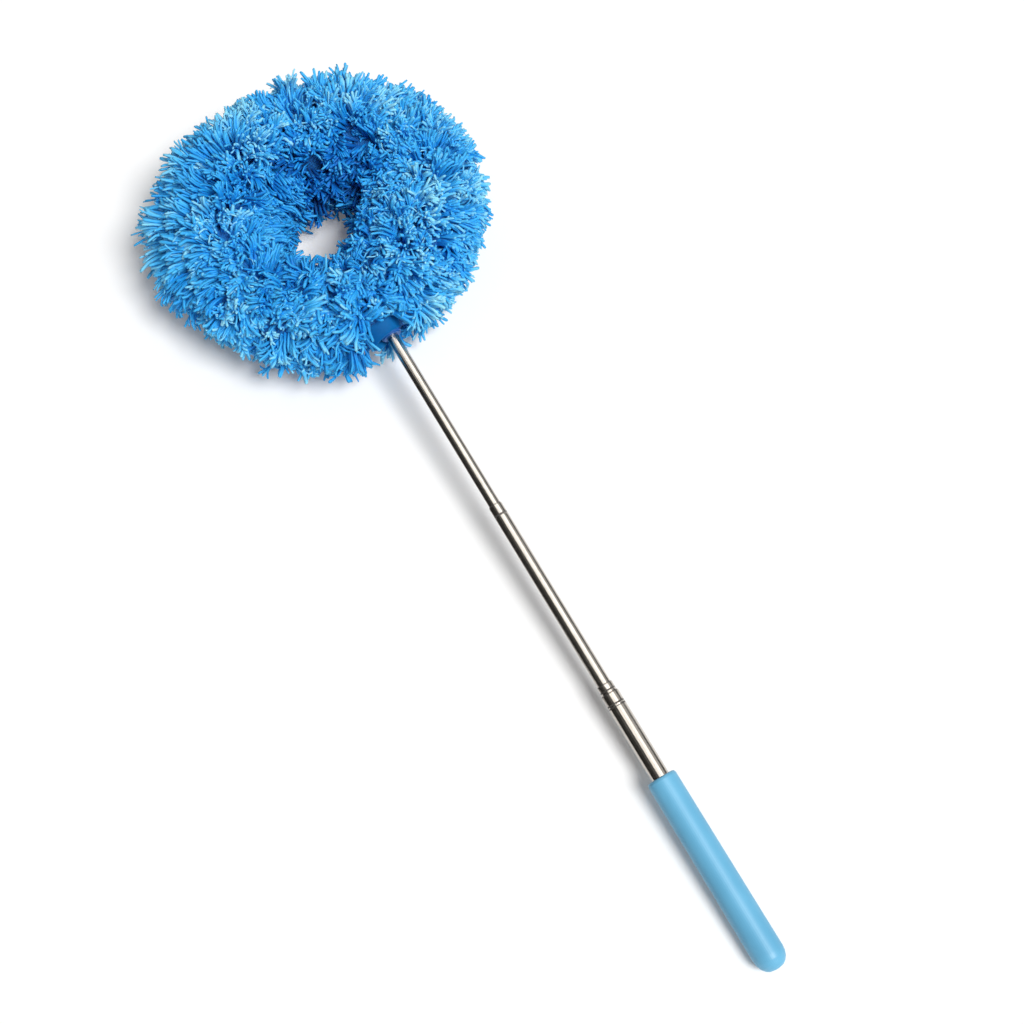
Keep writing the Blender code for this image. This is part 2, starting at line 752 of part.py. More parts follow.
def build_neck(head, channel, plastic, cloth, steel, nylon):
    place(make_neck_plug(nylon), head, NECK_MOUTH + TOP_SEATED)
    place(make_collar(plastic), head, NECK_MOUTH + COLLAR_SETBACK)
    place(make_sleeve(cloth), head, NECK_MOUTH)
    tools = []
    for side, x in (("left", -WIRE_LEG_SPREAD), ("right", WIRE_LEG_SPREAD)):
        foot = POLE_LENGTH - WIRE_LEG_END
        ferrule = make_ferrule("wire_ferrule_" + side, steel)
        pocket = rod(
            "ferrule_pocket_" + side,
            FERRULE_RADIUS + POCKET_CLEARANCE,
            -POCKET_CLEARANCE,
            FERRULE_LENGTH + POCKET_CLEARANCE,
        )
        for piece in (ferrule, pocket):
            place(piece, head, foot)
            piece.location.x = x
        tools.append(pocket)
    for level, below in (("lower", LOWER_SCREW_BELOW_RING), ("upper", -UPPER_SCREW_ABOVE_RING)):
        screw = make_screw("neck_screw_" + level, steel)
        hole = make_screw_hole("screw_hole_" + level)
        for piece in (screw, hole):
            place(piece, head, POLE_LENGTH - below)
            piece.location.y = SCREW_SEAT
            piece.rotation_euler = (math.radians(-90), 0, 0)
        tools.append(hole)
    socket = make_socket("neck_socket")
    place(socket, head, NECK_MOUTH)
    tools += [channel, socket]
    for name, side in (("neck_front", -1), ("neck_back", 1)):
        shell = turned(name, neck_profile(), plastic)
        half = make_half_space(name + "_half", side)
        half.parent = shell
        place(shell, head, NECK_MOUTH)
        cut(shell, half, "INTERSECT")
        for tool in tools:
            cut(shell, tool)


def build_ring(head, cloth, foam, pile_blue):
    end = FULL_TURN - FOAM_START
    wire_bore = WIRE_RADIUS + WIRE_CLEARANCE
    pieces = [
        make_ring_tube("ring_foam", FOAM_START, end, RING_STEPS, FOAM_RADIUS, wire_bore, foam),
        make_ring_tube(
            "cover_backing", FOAM_START, end, RING_STEPS, BACKING_RADIUS,
            FOAM_RADIUS + RING_CLEARANCE, cloth,
        ),
    ]
    inner = opening_turn(PILE_OPENING)
    outer = opening_turn(PILE_OPENING + COVER_END_THICKNESS)
    for side, start, stop in (("right", inner, outer), ("left", FULL_TURN - outer, FULL_TURN - inner)):
        name = "cover_end_" + side
        pieces.append(make_ring_tube(name, start, stop, 1, FOAM_RADIUS, wire_bore, cloth))
    step = (end - FOAM_START) / RING_STEPS
    bore_radius = BACKING_RADIUS + RING_CLEARANCE
    bore_tool = bent_bar("pile_bore", FOAM_START - step, end + step, RING_STEPS + 2, bore_radius)
    attach(bore_tool, head)
    gap = SLICE_GAP / RING_HALF_LENGTH
    edges = turns_between(PILE_START, FULL_TURN - PILE_START, PILE_SLICES)
    for index, (start, stop) in enumerate(zip(edges, edges[1:])):
        first = index * STRAND_AROUND_COUNT * STRAND_ROW_COUNT
        slice_of_pile = make_pile(
            f"pile_{index + 1:02d}", start + gap / 2, stop - gap / 2, STRAND_ROW_COUNT, first,
            bore_tool, pile_blue,
        )
        attach(slice_of_pile, head)
    for tube, tool in pieces:
        attach(tube, head)
        attach(tool, head)


def build_neck_pile(head, pile_blue):
    """The slice over the neck is open towards the pole, for the neck and its sleeve."""
    gap = SLICE_GAP / RING_HALF_LENGTH
    edge = PILE_START - gap / 2
    bore_radius = BACKING_RADIUS + RING_CLEARANCE
    bore_tool = bent_bar("neck_pile_bore", -2 * edge, 2 * edge, NECK_BORE_STEPS, bore_radius)
    neck_pile = make_pile(
        "pile_neck", -edge, edge, NECK_STRAND_ROW_COUNT, 0, bore_tool, pile_blue, notched=True
    )
    notch_half_height = SLEEVE_TOP_HALF_HEIGHT + SLEEVE_WALL + NOTCH_CLEARANCE
    notch_length = PILE_OUTWARD + NECK_LENGTH
    notch = box("neck_notch", 2 * PILE_OUTWARD, 2 * notch_half_height, notch_length)
    place(notch, head, POLE_LENGTH - notch_length / 2)
    cut(neck_pile, notch)
    attach(bore_tool, head)
    attach(neck_pile, head)


def build():
    clear_scene()
    steel = material("Polished stainless steel", (0.62, 0.59, 0.55), 0.22, 1.0)
    spring = material("Spring steel", (0.50, 0.50, 0.52), 0.35, 1.0)
    grip_blue = material("Light blue grip", (0.22, 0.60, 1.0), 0.55)
    nylon = material("Natural nylon", (0.80, 0.80, 0.76), 0.45)
    plastic = material("Blue moulded plastic", (0.01, 0.12, 0.42), 0.45)
    cloth = material("Dark blue knitted cloth", (0.01, 0.11, 0.45), 0.9)
    foam = material("Grey foam", (0.45, 0.46, 0.48), 0.95)
    pile_blue = material("Bright blue microfibre", (0.04, 0.30, 0.80), 0.9)

    lower_start = LOWER_MOUTH - LOWER_LENGTH
    middle_start = MIDDLE_MOUTH - MIDDLE_LENGTH
    top_start = NECK_MOUTH + TOP_SEATED - TOP_LENGTH
    handle = pole_frame("Handle", 0.0)
    lower_slide = pole_frame("Lower slide", lower_start, handle)
    middle_slide = pole_frame("Middle slide", middle_start, lower_slide)
    top_slide = pole_frame("Top slide", top_start, middle_slide)
    head = pole_frame("Head turn", NECK_MOUTH, top_slide)
    bpy.context.view_layer.update()

    build_handle(handle, steel, grip_blue, nylon)
    build_section(
        "lower_tube", LOWER_TUBE_RADIUS, LOWER_LENGTH, MIDDLE_TUBE_RADIUS, lower_start,
        lower_slide, lower_slide, steel, spring, nylon,
    )
    build_section(
        "middle_tube", MIDDLE_TUBE_RADIUS, MIDDLE_LENGTH, TOP_TUBE_RADIUS, middle_start,
        middle_slide, middle_slide, steel, spring, nylon,
    )
    build_section(
        "top_tube", TOP_TUBE_RADIUS, TOP_LENGTH, None, top_start,
        top_slide, head, steel, spring, nylon,
    )
    wire, channel = make_wire(steel)
    attach(wire, head)
    attach(channel, head)
    build_neck(head, channel, plastic, cloth, steel, nylon)
    build_ring(head, cloth, foam, pile_blue)
    build_neck_pile(head, pile_blue)


build()
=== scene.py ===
"""A ceiling fan duster: a ring of bright blue microfibre pile on a telescopic stainless pole with a
light blue grip, lying on a white studio floor. Metres, +Z up, the duster lies along +Y."""

import math

import bmesh
import bpy
import numpy as np
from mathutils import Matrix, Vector


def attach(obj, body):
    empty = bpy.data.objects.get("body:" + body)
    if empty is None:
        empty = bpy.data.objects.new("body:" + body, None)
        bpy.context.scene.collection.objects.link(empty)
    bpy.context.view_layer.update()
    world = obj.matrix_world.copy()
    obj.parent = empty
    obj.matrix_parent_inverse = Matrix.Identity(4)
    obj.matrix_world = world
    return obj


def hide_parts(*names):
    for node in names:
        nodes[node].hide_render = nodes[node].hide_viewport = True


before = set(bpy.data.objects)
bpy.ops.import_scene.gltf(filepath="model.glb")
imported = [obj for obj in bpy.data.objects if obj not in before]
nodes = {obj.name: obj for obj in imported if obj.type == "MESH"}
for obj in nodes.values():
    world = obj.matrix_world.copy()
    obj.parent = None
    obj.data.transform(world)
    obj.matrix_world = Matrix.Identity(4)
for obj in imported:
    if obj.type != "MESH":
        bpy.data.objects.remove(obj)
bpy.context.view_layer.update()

# Camera: a metre and a half off, looking steeply down, and turned so that the duster lies from the
# lower right of the picture to the upper left, as in the photograph.

CAMERA_TARGET = Vector((0.0127, -0.0128, 0.03))
CAMERA_AZIMUTH = math.radians(-30.73)
CAMERA_ELEVATION = math.radians(71.3)
CAMERA_DISTANCE = 1.4468
CAMERA_LENS_MM = 55.4
CAMERA_SENSOR_MM = 36

towards_camera = Vector(
    (
        math.sin(CAMERA_AZIMUTH) * math.cos(CAMERA_ELEVATION),
        -math.cos(CAMERA_AZIMUTH) * math.cos(CAMERA_ELEVATION),
        math.sin(CAMERA_ELEVATION),
    )
)
camera = bpy.data.objects.new("camera", bpy.data.cameras.new("camera"))
camera.data.lens = CAMERA_LENS_MM
camera.data.sensor_width = CAMERA_SENSOR_MM
camera.location = CAMERA_TARGET + CAMERA_DISTANCE * towards_camera
camera.rotation_euler = (-towards_camera).to_track_quat("-Z", "Y").to_euler()
bpy.context.scene.collection.objects.link(camera)
bpy.context.scene.camera = camera
bpy.context.scene.view_settings.view_transform = "Standard"

# Floor: flat matt white board, wide enough for every view. It glows a little where the lens or a
# shiny surface sees it, because the studio's floor is lit to plain white.

FLOOR_HALF_WIDTH = 4
FLOOR_WHITE = (0.90, 0.90, 0.90)
FLOOR_GLOW = 0.10


def new_material(name, colour, roughness, metallic=0.0):
    """A material and its Principled shader."""
    made = bpy.data.materials.new(name)
    made.use_nodes = True
    shader = made.node_tree.nodes["Principled BSDF"]
    shader.inputs["Base Color"].default_value = (*colour, 1)
    shader.inputs["Roughness"].default_value = roughness
    shader.inputs["Metallic"].default_value = metallic
    return made, shader


def set_material(piece, material):
    piece.data.materials.clear()
    piece.data.materials.append(material)


def node(owner, kind, **values):
    """A new shader node in a material or a world, with these settings and socket values."""
    made = owner.node_tree.nodes.new(kind)
    for key, value in values.items():
        if hasattr(made, key):
            setattr(made, key, value)
        else:
            made.inputs[key].default_value = value
    return made


def link(owner, source, target):
    owner.node_tree.links.new(source, target)


floor_grid = bmesh.new()
bmesh.ops.create_grid(floor_grid, x_segments=2, y_segments=2, size=FLOOR_HALF_WIDTH)
floor_data = bpy.data.meshes.new("floor")
floor_grid.to_mesh(floor_data)
floor_grid.free()
floor = bpy.data.objects.new("floor", floor_data)
bpy.context.scene.collection.objects.link(floor)
floor_white, floor_shader = new_material("floor_white", FLOOR_WHITE, 0.9)
floor_shader.inputs["Emission Color"].default_value = (1, 1, 1, 1)
floor_rays = node(floor_white, "ShaderNodeLightPath")
floor_seen = node(floor_white, "ShaderNodeMath", operation="MAXIMUM")
floor_glow = node(floor_white, "ShaderNodeMath", operation="MULTIPLY")
floor_glow.inputs[1].default_value = FLOOR_GLOW
link(floor_white, floor_rays.outputs["Is Camera Ray"], floor_seen.inputs[0])
link(floor_white, floor_rays.outputs["Is Glossy Ray"], floor_seen.inputs[1])
link(floor_white, floor_seen.outputs[0], floor_glow.inputs[0])
link(floor_white, floor_glow.outputs[0], floor_shader.inputs["Emission Strength"])
set_material(floor, floor_white)

# Light: one large soft lamp high up on the right of the grip, an even white surround, and three cards
# that only show in reflections. Two dark ones draw the tubes' dark edges, a bright one their shine.

KEY_DIRECTION = Vector((0.24, -0.45, 1.0))
KEY_STRENGTH = 2.95
KEY_WIDTH = math.radians(25)
KEY_COLOUR = (1.0, 0.997, 0.99)
LEFT_CARD = {"place": (-0.1075, -0.125, 0.166), "target": (0, -0.125, 0.2), "width": 0.65, "height": 0.346}
RIGHT_CARD = {"place": (1.55, 0, 0.22), "target": (0, 0, 0.1), "width": 2.6, "height": 0.42}
CARD_ABOVE = {"place": (0.375, 0.15, 1.5), "target": (0.375, 0.15, 0), "width": 1.05, "height": 1.6}
BRIGHT_CARD_GLOW = 1.7
SURROUND_COLOUR = (1.0, 0.995, 0.99)
SURROUND_LIGHT = 0.20
SURROUND_MORE_IN_STEEL = 0.42
SURROUND_MORE_IN_VIEW = 0.80


def card(name, material, place, target, width, height):
    """A card beside the set, which faces its target and only shows in reflections."""
    card_grid = bmesh.new()
    bmesh.ops.create_grid(card_grid, x_segments=1, y_segments=1, size=0.5)
    bmesh.ops.scale(card_grid, vec=(width, height, 1), verts=card_grid.verts)
    card_data = bpy.data.meshes.new(name)
    card_grid.to_mesh(card_data)
    card_grid.free()
    made = bpy.data.objects.new(name, card_data)
    bpy.context.scene.collection.objects.link(made)
    made.location = place
    made.rotation_euler = (Vector(target) - Vector(place)).to_track_quat("-Z", "Y").to_euler()
    set_material(made, material)
    made.visible_camera = False
    made.visible_diffuse = False
    made.visible_shadow = False


key_lamp = bpy.data.objects.new("key_lamp", bpy.data.lights.new("key_lamp", "SUN"))
key_lamp.data.energy = KEY_STRENGTH
key_lamp.data.angle = KEY_WIDTH
key_lamp.data.color = KEY_COLOUR
key_lamp.rotation_euler = KEY_DIRECTION.to_track_quat("Z", "Y").to_euler()
bpy.context.scene.collection.objects.link(key_lamp)

dark_card, _ = new_material("card_dark", (0.008, 0.007, 0.006), 0.9)
bright_card, bright_shader = new_material("card_white", (0.9, 0.9, 0.88), 0.9)
bright_shader.inputs["Emission Color"].default_value = (1.0, 0.97, 0.92, 1)
bright_shader.inputs["Emission Strength"].default_value = BRIGHT_CARD_GLOW
card("card_left", dark_card, **LEFT_CARD)
card("card_right", dark_card, **RIGHT_CARD)
card("card_above", bright_card, **CARD_ABOVE)

studio = bpy.data.worlds.new("studio")
studio.use_nodes = True
bpy.context.scene.world = studio
background = studio.node_tree.nodes["Background"]
background.inputs["Color"].default_value = (*SURROUND_COLOUR, 1)
studio_rays = node(studio, "ShaderNodeLightPath")
surround_in_steel = node(studio, "ShaderNodeMath", operation="MULTIPLY_ADD")
surround_in_steel.inputs[1].default_value = SURROUND_MORE_IN_STEEL
surround_in_steel.inputs[2].default_value = SURROUND_LIGHT
surround_in_view = node(studio, "ShaderNodeMath", operation="MULTIPLY_ADD")
surround_in_view.inputs[1].default_value = SURROUND_MORE_IN_VIEW
link(studio, studio_rays.outputs["Is Glossy Ray"], surround_in_steel.inputs[0])
link(studio, studio_rays.outputs["Is Camera Ray"], surround_in_view.inputs[0])
link(studio, surround_in_steel.outputs[0], surround_in_view.inputs[2])
link(studio, surround_in_view.outputs[0], background.inputs["Strength"])

# Pole: four stainless tubes, drawn and polished lengthwise, so that the finest scratches run along
# them. Every mouth is necked in to a bevelled lip, with grooves rolled in behind it. The lip's bevel
# and the grooves' bottoms are painted near black as painted shade.

POLE_START = np.array((0.0, -0.4734167, 0.0135686))
POLE_AXIS = np.array((0.0, 0.9976342, 0.0687457))
MOUTH_ZONE = 0.008
TUBE_SKIN = 0.0003
TURNED_EDGE = math.radians(12)
SCRATCH_SCALE = (2600, 18, 2600)
SCRATCH_DEPTH = 0.000006

# A mark on a tube is how far it lies behind the mouth, and how deep it goes.
LIP_BEVEL = 0.00045
GROOVE_DEPTH = 0.00034
FAINT_DEPTH = 0.00022
PAINTED_SHADE_DEPTH = 0.0001
LIP = ((0.0, LIP_BEVEL), (0.0008, 0.0))
GROOVE_AT_6 = ((0.0056, 0.0), (0.0060, GROOVE_DEPTH), (0.0064, GROOVE_DEPTH), (0.0068, 0.0))
GROOVE_AT_11 = ((0.0100, 0.0), (0.0105, GROOVE_DEPTH), (0.0109, GROOVE_DEPTH), (0.0114, 0.0))
GROOVE_AT_13 = ((0.0126, 0.0), (0.0130, FAINT_DEPTH), (0.0133, FAINT_DEPTH), (0.0137, 0.0))
TUBES = (
    ("base_tube", "handle", LIP + GROOVE_AT_11 + GROOVE_AT_13),
    ("lower_tube", "lower_section", LIP + GROOVE_AT_6),
    ("middle_tube", "middle_section", LIP + GROOVE_AT_11),
)


def object_coordinates(material, scale=(1, 1, 1)):
    """Object coordinates, which are the same in every view, stretched by scale."""
    place = node(material, "ShaderNodeTexCoord")
    stretch = node(material, "ShaderNodeMapping", Scale=scale)
    link(material, place.outputs["Object"], stretch.inputs["Vector"])
    return stretch.outputs["Vector"]


def noise(material, scale, detail, stretch=(1, 1, 1)):
    made = node(material, "ShaderNodeTexNoise", Scale=scale, Detail=detail)
    link(material, object_coordinates(material, stretch), made.inputs["Vector"])
    return made.outputs["Fac"]


def ramp(material, source, stops, target):
    """Colours target by source, with (position, colour) stops."""
    made = node(material, "ShaderNodeValToRGB")
    elements = made.color_ramp.elements
    while len(elements) < len(stops):
        elements.new(0.5)
    for element, (position, colour) in zip(elements, stops):
        element.position = position
        element.color = (*colour, 1)
    link(material, source, made.inputs["Fac"])
    link(material, made.outputs["Color"], target)


def bump(material, shader, height, distance, strength=1.0):
    made = node(material, "ShaderNodeBump", Distance=distance, Strength=strength)
    link(material, height, made.inputs["Height"])
    link(material, made.outputs["Normal"], shader.inputs["Normal"])


steel, steel_shader = new_material("polished_steel", (0.57, 0.53, 0.485), 0.2, 1.0)
steel_shader.inputs["Anisotropic"].default_value = 0.4
scratches = noise(steel, 1.0, 4.0, SCRATCH_SCALE)
smears = noise(steel, 28.0, 3.0)
steel_tones = ((0.25, (0.47, 0.43, 0.385)), (0.75, (0.66, 0.62, 0.575)))
steel_glosses = ((0.3, (0.17, 0.17, 0.17)), (0.75, (0.25, 0.25, 0.25)))
ramp(steel, scratches, steel_tones, steel_shader.inputs["Base Color"])
ramp(steel, smears, steel_glosses, steel_shader.inputs["Roughness"])
bump(steel, steel_shader, scratches, SCRATCH_DEPTH)
# Painted shade: a near black for the tubes' lip bevels and groove bottoms.
groove_painted_shade, _ = new_material("groove_painted_shade", (0.05, 0.045, 0.04), 0.6)
set_material(nodes["top_tube"], steel)

for name, body, marks in TUBES:
    tube = bmesh.new()
    tube.from_mesh(nodes[name].data)
    tube.transform(nodes[name].matrix_world)
    points = np.array([vert.co for vert in tube.verts]) - POLE_START
    mouth = (points @ POLE_AXIS).max()
    at_mouth = points[points @ POLE_AXIS > mouth - MOUTH_ZONE]
    off_axis = at_mouth - (at_mouth @ POLE_AXIS)[:, None] * POLE_AXIS
    tube_radius = np.linalg.norm(off_axis, axis=1).max()
    for distance, _ in marks[1:]:
        bmesh.ops.bisect_plane(
            tube,
            geom=tube.verts[:] + tube.edges[:] + tube.faces[:],
            plane_co=POLE_START + POLE_AXIS * (mouth - distance),
            plane_no=POLE_AXIS,
        )
    rolled = set()
    for vert in tube.verts:
        offset = np.array(vert.co) - POLE_START
        level = offset @ POLE_AXIS
        radial = offset - level * POLE_AXIS
        reach = np.linalg.norm(radial)
        depth = np.interp(mouth - level, *zip(*marks))
        if reach > tube_radius - TUBE_SKIN and depth > 0:
            vert.co = Vector(POLE_START + level * POLE_AXIS + radial * ((tube_radius - depth) / reach))
            # Corners rolled deeper than this carry the painted shade.
            if depth > PAINTED_SHADE_DEPTH:
                rolled.add(vert)
    for face in tube.faces:
        if sum(vert in rolled for vert in face.verts) > 1:
            face.material_index = 1
    turned_data = bpy.data.meshes.new(name + "_turned")
    turned_data.materials.append(steel)
    turned_data.materials.append(groove_painted_shade)
    tube.to_mesh(turned_data)
    tube.free()
    turned_data.shade_smooth()
    turned_data.set_sharp_from_angle(angle=TURNED_EDGE)
    turned_tube = bpy.data.objects.new(name + "_turned", turned_data)
    bpy.context.scene.collection.objects.link(turned_tube)
    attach(turned_tube, body)
    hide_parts(name)

# Inside the pole and the neck: moulded nylon plugs and bushes, and spring steel for the clips, the
# ring's wire, its crimped ferrules and the screws. They only show once the duster is taken apart.

NYLON_GRAIN = 0.00003
WIRE_GRAIN = 0.00002


def mottled(name, colour, roughness, scale, detail, tones, height, metallic=0.0):
    """A material whose colour wanders between two tones, on a skin as uneven as height."""
    made, shader = new_material(name, colour, roughness, metallic)
    mottle = noise(made, scale, detail)
    ramp(made, mottle, tones, shader.inputs["Base Color"])
    bump(made, shader, mottle, height)
    return made


nylon_tones = ((0.3, (0.72, 0.72, 0.67)), (0.7, (0.83, 0.83, 0.79)))
nylon = mottled("natural_nylon", (0.8, 0.8, 0.76), 0.45, 160.0, 3.0, nylon_tones, NYLON_GRAIN)
for name in ("base_plug", "lower_tube_bush", "middle_tube_bush", "top_tube_bush", "neck_plug"):
    set_material(nodes[name], nylon)

wire_tones = ((0.3, (0.38, 0.38, 0.40)), (0.7, (0.58, 0.58, 0.60)))
spring_steel = mottled("spring_steel", (0.5, 0.5, 0.52), 0.3, 420.0, 4.0, wire_tones, WIRE_GRAIN, 1.0)
for name in nodes:
    if name.endswith("spring_clip") or name.startswith(("neck_screw", "wire_ferrule", "ring_wire")):
        set_material(nodes[name], spring_steel)

# Grip: a sleeve of satin plastic, moulded closed at its round end and pushed over the base tube. Its
# light blue has the faintest spark-eroded grain.

GRIP_GRAIN = 0.00003

grip_blue, grip_shader = new_material("grip_blue", (0.155, 0.48, 0.74), 0.42)
grip_tones = ((0.3, (0.135, 0.45, 0.70)), (0.7, (0.16, 0.50, 0.76)))
ramp(grip_blue, noise(grip_blue, 22.0, 2.0), grip_tones, grip_shader.inputs["Base Color"])
bump(grip_blue, grip_shader, noise(grip_blue, 900.0, 2.0), GRIP_GRAIN)
set_material(nodes["grip"], grip_blue)

# Neck: two moulded half shells, screwed together round the top of the pole, and a collar pressed over
# their mouth. All three are deep blue and hidden inside the cover's cuff.

NECK_GRAIN = 0.00003

neck_tones = ((0.3, (0.008, 0.10, 0.38)), (0.7, (0.012, 0.13, 0.45)))
neck_plastic = mottled("neck_plastic", (0.01, 0.12, 0.42), 0.45, 500.0, 2.0, neck_tones, NECK_GRAIN)
for name in ("neck_front", "neck_back", "neck_collar"):
    set_material(nodes[name], neck_plastic)

# Foam core: a tube of grey foam over the ring's oval wire, which gives the pile its body. It ends
# beside the neck, where the cover is gathered over it. The oval lies flat, nearest the pole at turn 0.

RING_CENTRE = np.array((0.0, 0.3174167, 0.062))
RING_HALF_WIDTH = 0.098
RING_HALF_LENGTH = 0.088
UP = np.array((0.0, 0.0, 1.0))
MERGE = 0.00001
PILE_OPENING = 0.0163
COVER_END_THICKNESS = 0.003
COVER_END_CLEARANCE = 0.0004
FOAM_RADIUS = 0.019
FOAM_SLACK = 0.0004
FOAM_WAVE = 0.0002
FOAM_STEPS = 180
FOAM_SIDES = 32
PORE_DEPTH = 0.0006


def opening_turn(half_width):
    """The turn at which the ring's centre line is half_width beside the pole."""
    return math.asin(half_width / RING_HALF_WIDTH)


def ring_frame(turn):
    """The ring's centre line at these turns, and its outward direction there."""
    sine, cosine = np.sin(turn), np.cos(turn)
    zero = np.zeros_like(sine)
    place = RING_CENTRE + np.stack((RING_HALF_WIDTH * sine, -RING_HALF_LENGTH * cosine, zero), -1)
    outward = np.stack((RING_HALF_LENGTH * sine, -RING_HALF_WIDTH * cosine, zero), -1)
    outward /= np.linalg.norm(outward, axis=-1, keepdims=True)
    return place, outward


def on_ring(turn, around, reach):
    """Points at a reach from the centre line. Around is 0 outwards, and grows upwards."""
    place, outward = ring_frame(np.asarray(turn))
    ray = np.cos(around)[..., None] * outward + np.sin(around)[..., None] * UP
    return place + ray * np.asarray(reach)[..., None]


def finished_object(name, bm, material):
    data = bpy.data.meshes.new(name)
    bm.to_mesh(data)
    bm.free()
    data.shade_smooth()
    made = bpy.data.objects.new(name, data)
    bpy.context.scene.collection.objects.link(made)
    set_material(made, material)
    return made


def head_piece(piece, slot, *replaced):
    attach(piece, "head")
    if replaced:
        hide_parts(*replaced)


def ring_skin(name, start, end, steps, sides, reach_at, material):
    """A tube round the ring from turn start to end. reach_at gives its radius by turn and around."""
    bm = bmesh.new()
    bmesh.ops.create_grid(bm, x_segments=steps, y_segments=sides, size=0.5)
    grid = np.array([vert.co for vert in bm.verts])
    turns = start + (end - start) * (grid[:, 0] + 0.5)
    arounds = 2 * np.pi * (grid[:, 1] + 0.5)
    places = on_ring(turns, arounds, reach_at(turns, arounds))
    for vert, point in zip(bm.verts, places):
        vert.co = Vector(point)
    bmesh.ops.remove_doubles(bm, verts=bm.verts, dist=MERGE)
    rims = [edge for edge in bm.edges if edge.is_boundary]
    if rims:
        bmesh.ops.holes_fill(bm, edges=rims, sides=0)
    bmesh.ops.recalc_face_normals(bm, faces=bm.faces)
    return finished_object(name, bm, material)


def foam_reach(turns, arounds):
    return FOAM_RADIUS + FOAM_WAVE * np.sin(9 * turns) * np.cos(3 * arounds) - FOAM_SLACK


foam_grey, foam_shader = new_material("foam_grey", (0.45, 0.46, 0.48), 0.9)
pores = node(foam_grey, "ShaderNodeTexVoronoi", Scale=900.0)
link(foam_grey, object_coordinates(foam_grey), pores.inputs["Vector"])
# The pores' pits, where the bump is lowest, are painted darker as painted shade.
foam_pit_shade_tones = ((0.1, (0.30, 0.31, 0.33)), (0.6, (0.50, 0.51, 0.53)))
ramp(foam_grey, pores.outputs["Distance"], foam_pit_shade_tones, foam_shader.inputs["Base Color"])
bump(foam_grey, foam_shader, pores.outputs["Distance"], PORE_DEPTH)

foam_start = opening_turn(PILE_OPENING + COVER_END_THICKNESS + COVER_END_CLEARANCE)
foam_end = 2 * math.pi - foam_start
foam_core = ring_skin(
    "foam_core", foam_start, foam_end, FOAM_STEPS, FOAM_SIDES, foam_reach, foam_grey
)
head_piece(foam_core, "foam", "ring_foam")

# Backing: the washable cover's own tube, knitted in deep blue and pulled over the foam. The pile is
# sewn through it.

BACKING_RADIUS = 0.0214
BACKING_SLACK = 0.0006
BACKING_STEPS = 560
BACKING_SIDES = 96
STITCH_HEIGHT = 0.0005
STITCH_ROWS = 130
STITCHES_A_ROW = 26
KNIT_DEPTH = 0.00012


def backing_reach(turns, arounds):
    rows = np.sin(STITCH_ROWS * turns) * np.sin(STITCHES_A_ROW * arounds)
    return BACKING_RADIUS - BACKING_SLACK + STITCH_HEIGHT * rows


cloth_blue, cloth_shader = new_material("cover_cloth", (0.005, 0.10, 0.46), 0.6)
cloth_shader.inputs["Specular IOR Level"].default_value = 0.12
cloth_shader.inputs["Sheen Weight"].default_value = 0.02
cloth_shader.inputs["Sheen Roughness"].default_value = 0.4
cloth_shader.inputs["Sheen Tint"].default_value = (0.5, 0.75, 1.0, 1)
knit = node(cloth_blue, "ShaderNodeTexWave", Scale=420.0, Distortion=1.5, Detail=1.0)
link(cloth_blue, object_coordinates(cloth_blue), knit.inputs["Vector"])
cloth_tones = ((0.3, (0.001, 0.11, 0.34)), (0.72, (0.003, 0.155, 0.43)))
ramp(cloth_blue, noise(cloth_blue, 60.0, 4.0), cloth_tones, cloth_shader.inputs["Base Color"])
bump(cloth_blue, cloth_shader, knit.outputs["Fac"], KNIT_DEPTH, 0.5)

backing = ring_skin(
    "knitted_backing", foam_start, foam_end, BACKING_STEPS, BACKING_SIDES, backing_reach, cloth_blue
)
head_piece(backing, "cover_cloth", "cover_backing")

# Gathered ends: on both sides of the neck the cover is drawn together over the end of the foam, in
# small pleats round a hole for the wire.

PLEATS = 14
PLEAT_DEPTH = 0.0011
GATHER_SIDES = 112
GATHER_STEPS = 6
GATHER_HOLE = 0.0045
GATHER_SETBACK = 0.0015
GATHER_WALL = 0.0007


def loops_of_corners(sides, steps):
    """A new bmesh with a circle extruded on the spot this many times, and its loops of corners."""
    bm = bmesh.new()
    bmesh.ops.create_circle(bm, segments=sides, radius=1)
    loops = [list(bm.verts)]
    for _ in range(steps):
        edges = [edge for edge in bm.edges if all(vert in loops[-1] for vert in edge.verts)]
        grown = bmesh.ops.extrude_edge_only(bm, edges=edges)["geom"]
        loops.append([item for item in grown if isinstance(item, bmesh.types.BMVert)])
    return bm, loops


def give_wall(piece, thickness, offset):
    wall = piece.modifiers.new("Solidify", "SOLIDIFY")
    wall.thickness = thickness
    wall.offset = offset


for side, label in ((1, "right"), (-1, "left")):
    end_mesh, loops = loops_of_corners(GATHER_SIDES, GATHER_STEPS)
    for level, loop in enumerate(loops):
        reach = GATHER_HOLE + (BACKING_RADIUS - BACKING_SLACK - GATHER_HOLE) * level / GATHER_STEPS
        for vert in loop:
            angle = math.atan2(vert.co.y, vert.co.x)
            pleat = PLEAT_DEPTH * math.sin(math.pi * level / GATHER_STEPS) * math.cos(PLEATS * angle)
            turn = opening_turn(side * (PILE_OPENING + GATHER_SETBACK + pleat))
            vert.co = Vector(on_ring(turn, np.array(angle), reach))
    gathered_end = finished_object("gathered_" + label, end_mesh, cloth_blue)
    give_wall(gathered_end, GATHER_WALL, 0)
    head_piece(gathered_end, "cover_cloth", "cover_end_" + label)

# Cuff: a smooth sleeve of the same cloth, sewn into the cover and slipped over the neck. It opens
# wide and slack to the left of the pole, and its mouth has a rolled hem.

NECK_MOUTH = np.array((0.0, 0.184523, 0.058906))
CUFF_LENGTH = 0.030
CUFF_WALL = 0.0011
CUFF_SIDES = 72
CUFF_SHARES = (0.0, 0.025, 0.05, 0.12, 0.25, 0.4, 0.55, 0.7, 0.85, 1.0)
CUFF_SLANT = 0.0036
CREASES = 5
CREASE_HEIGHT = 0.0005
CREASE_PLACE = 1.5
HEM_HEIGHT = 0.0003
HEM_SHARE = 0.03

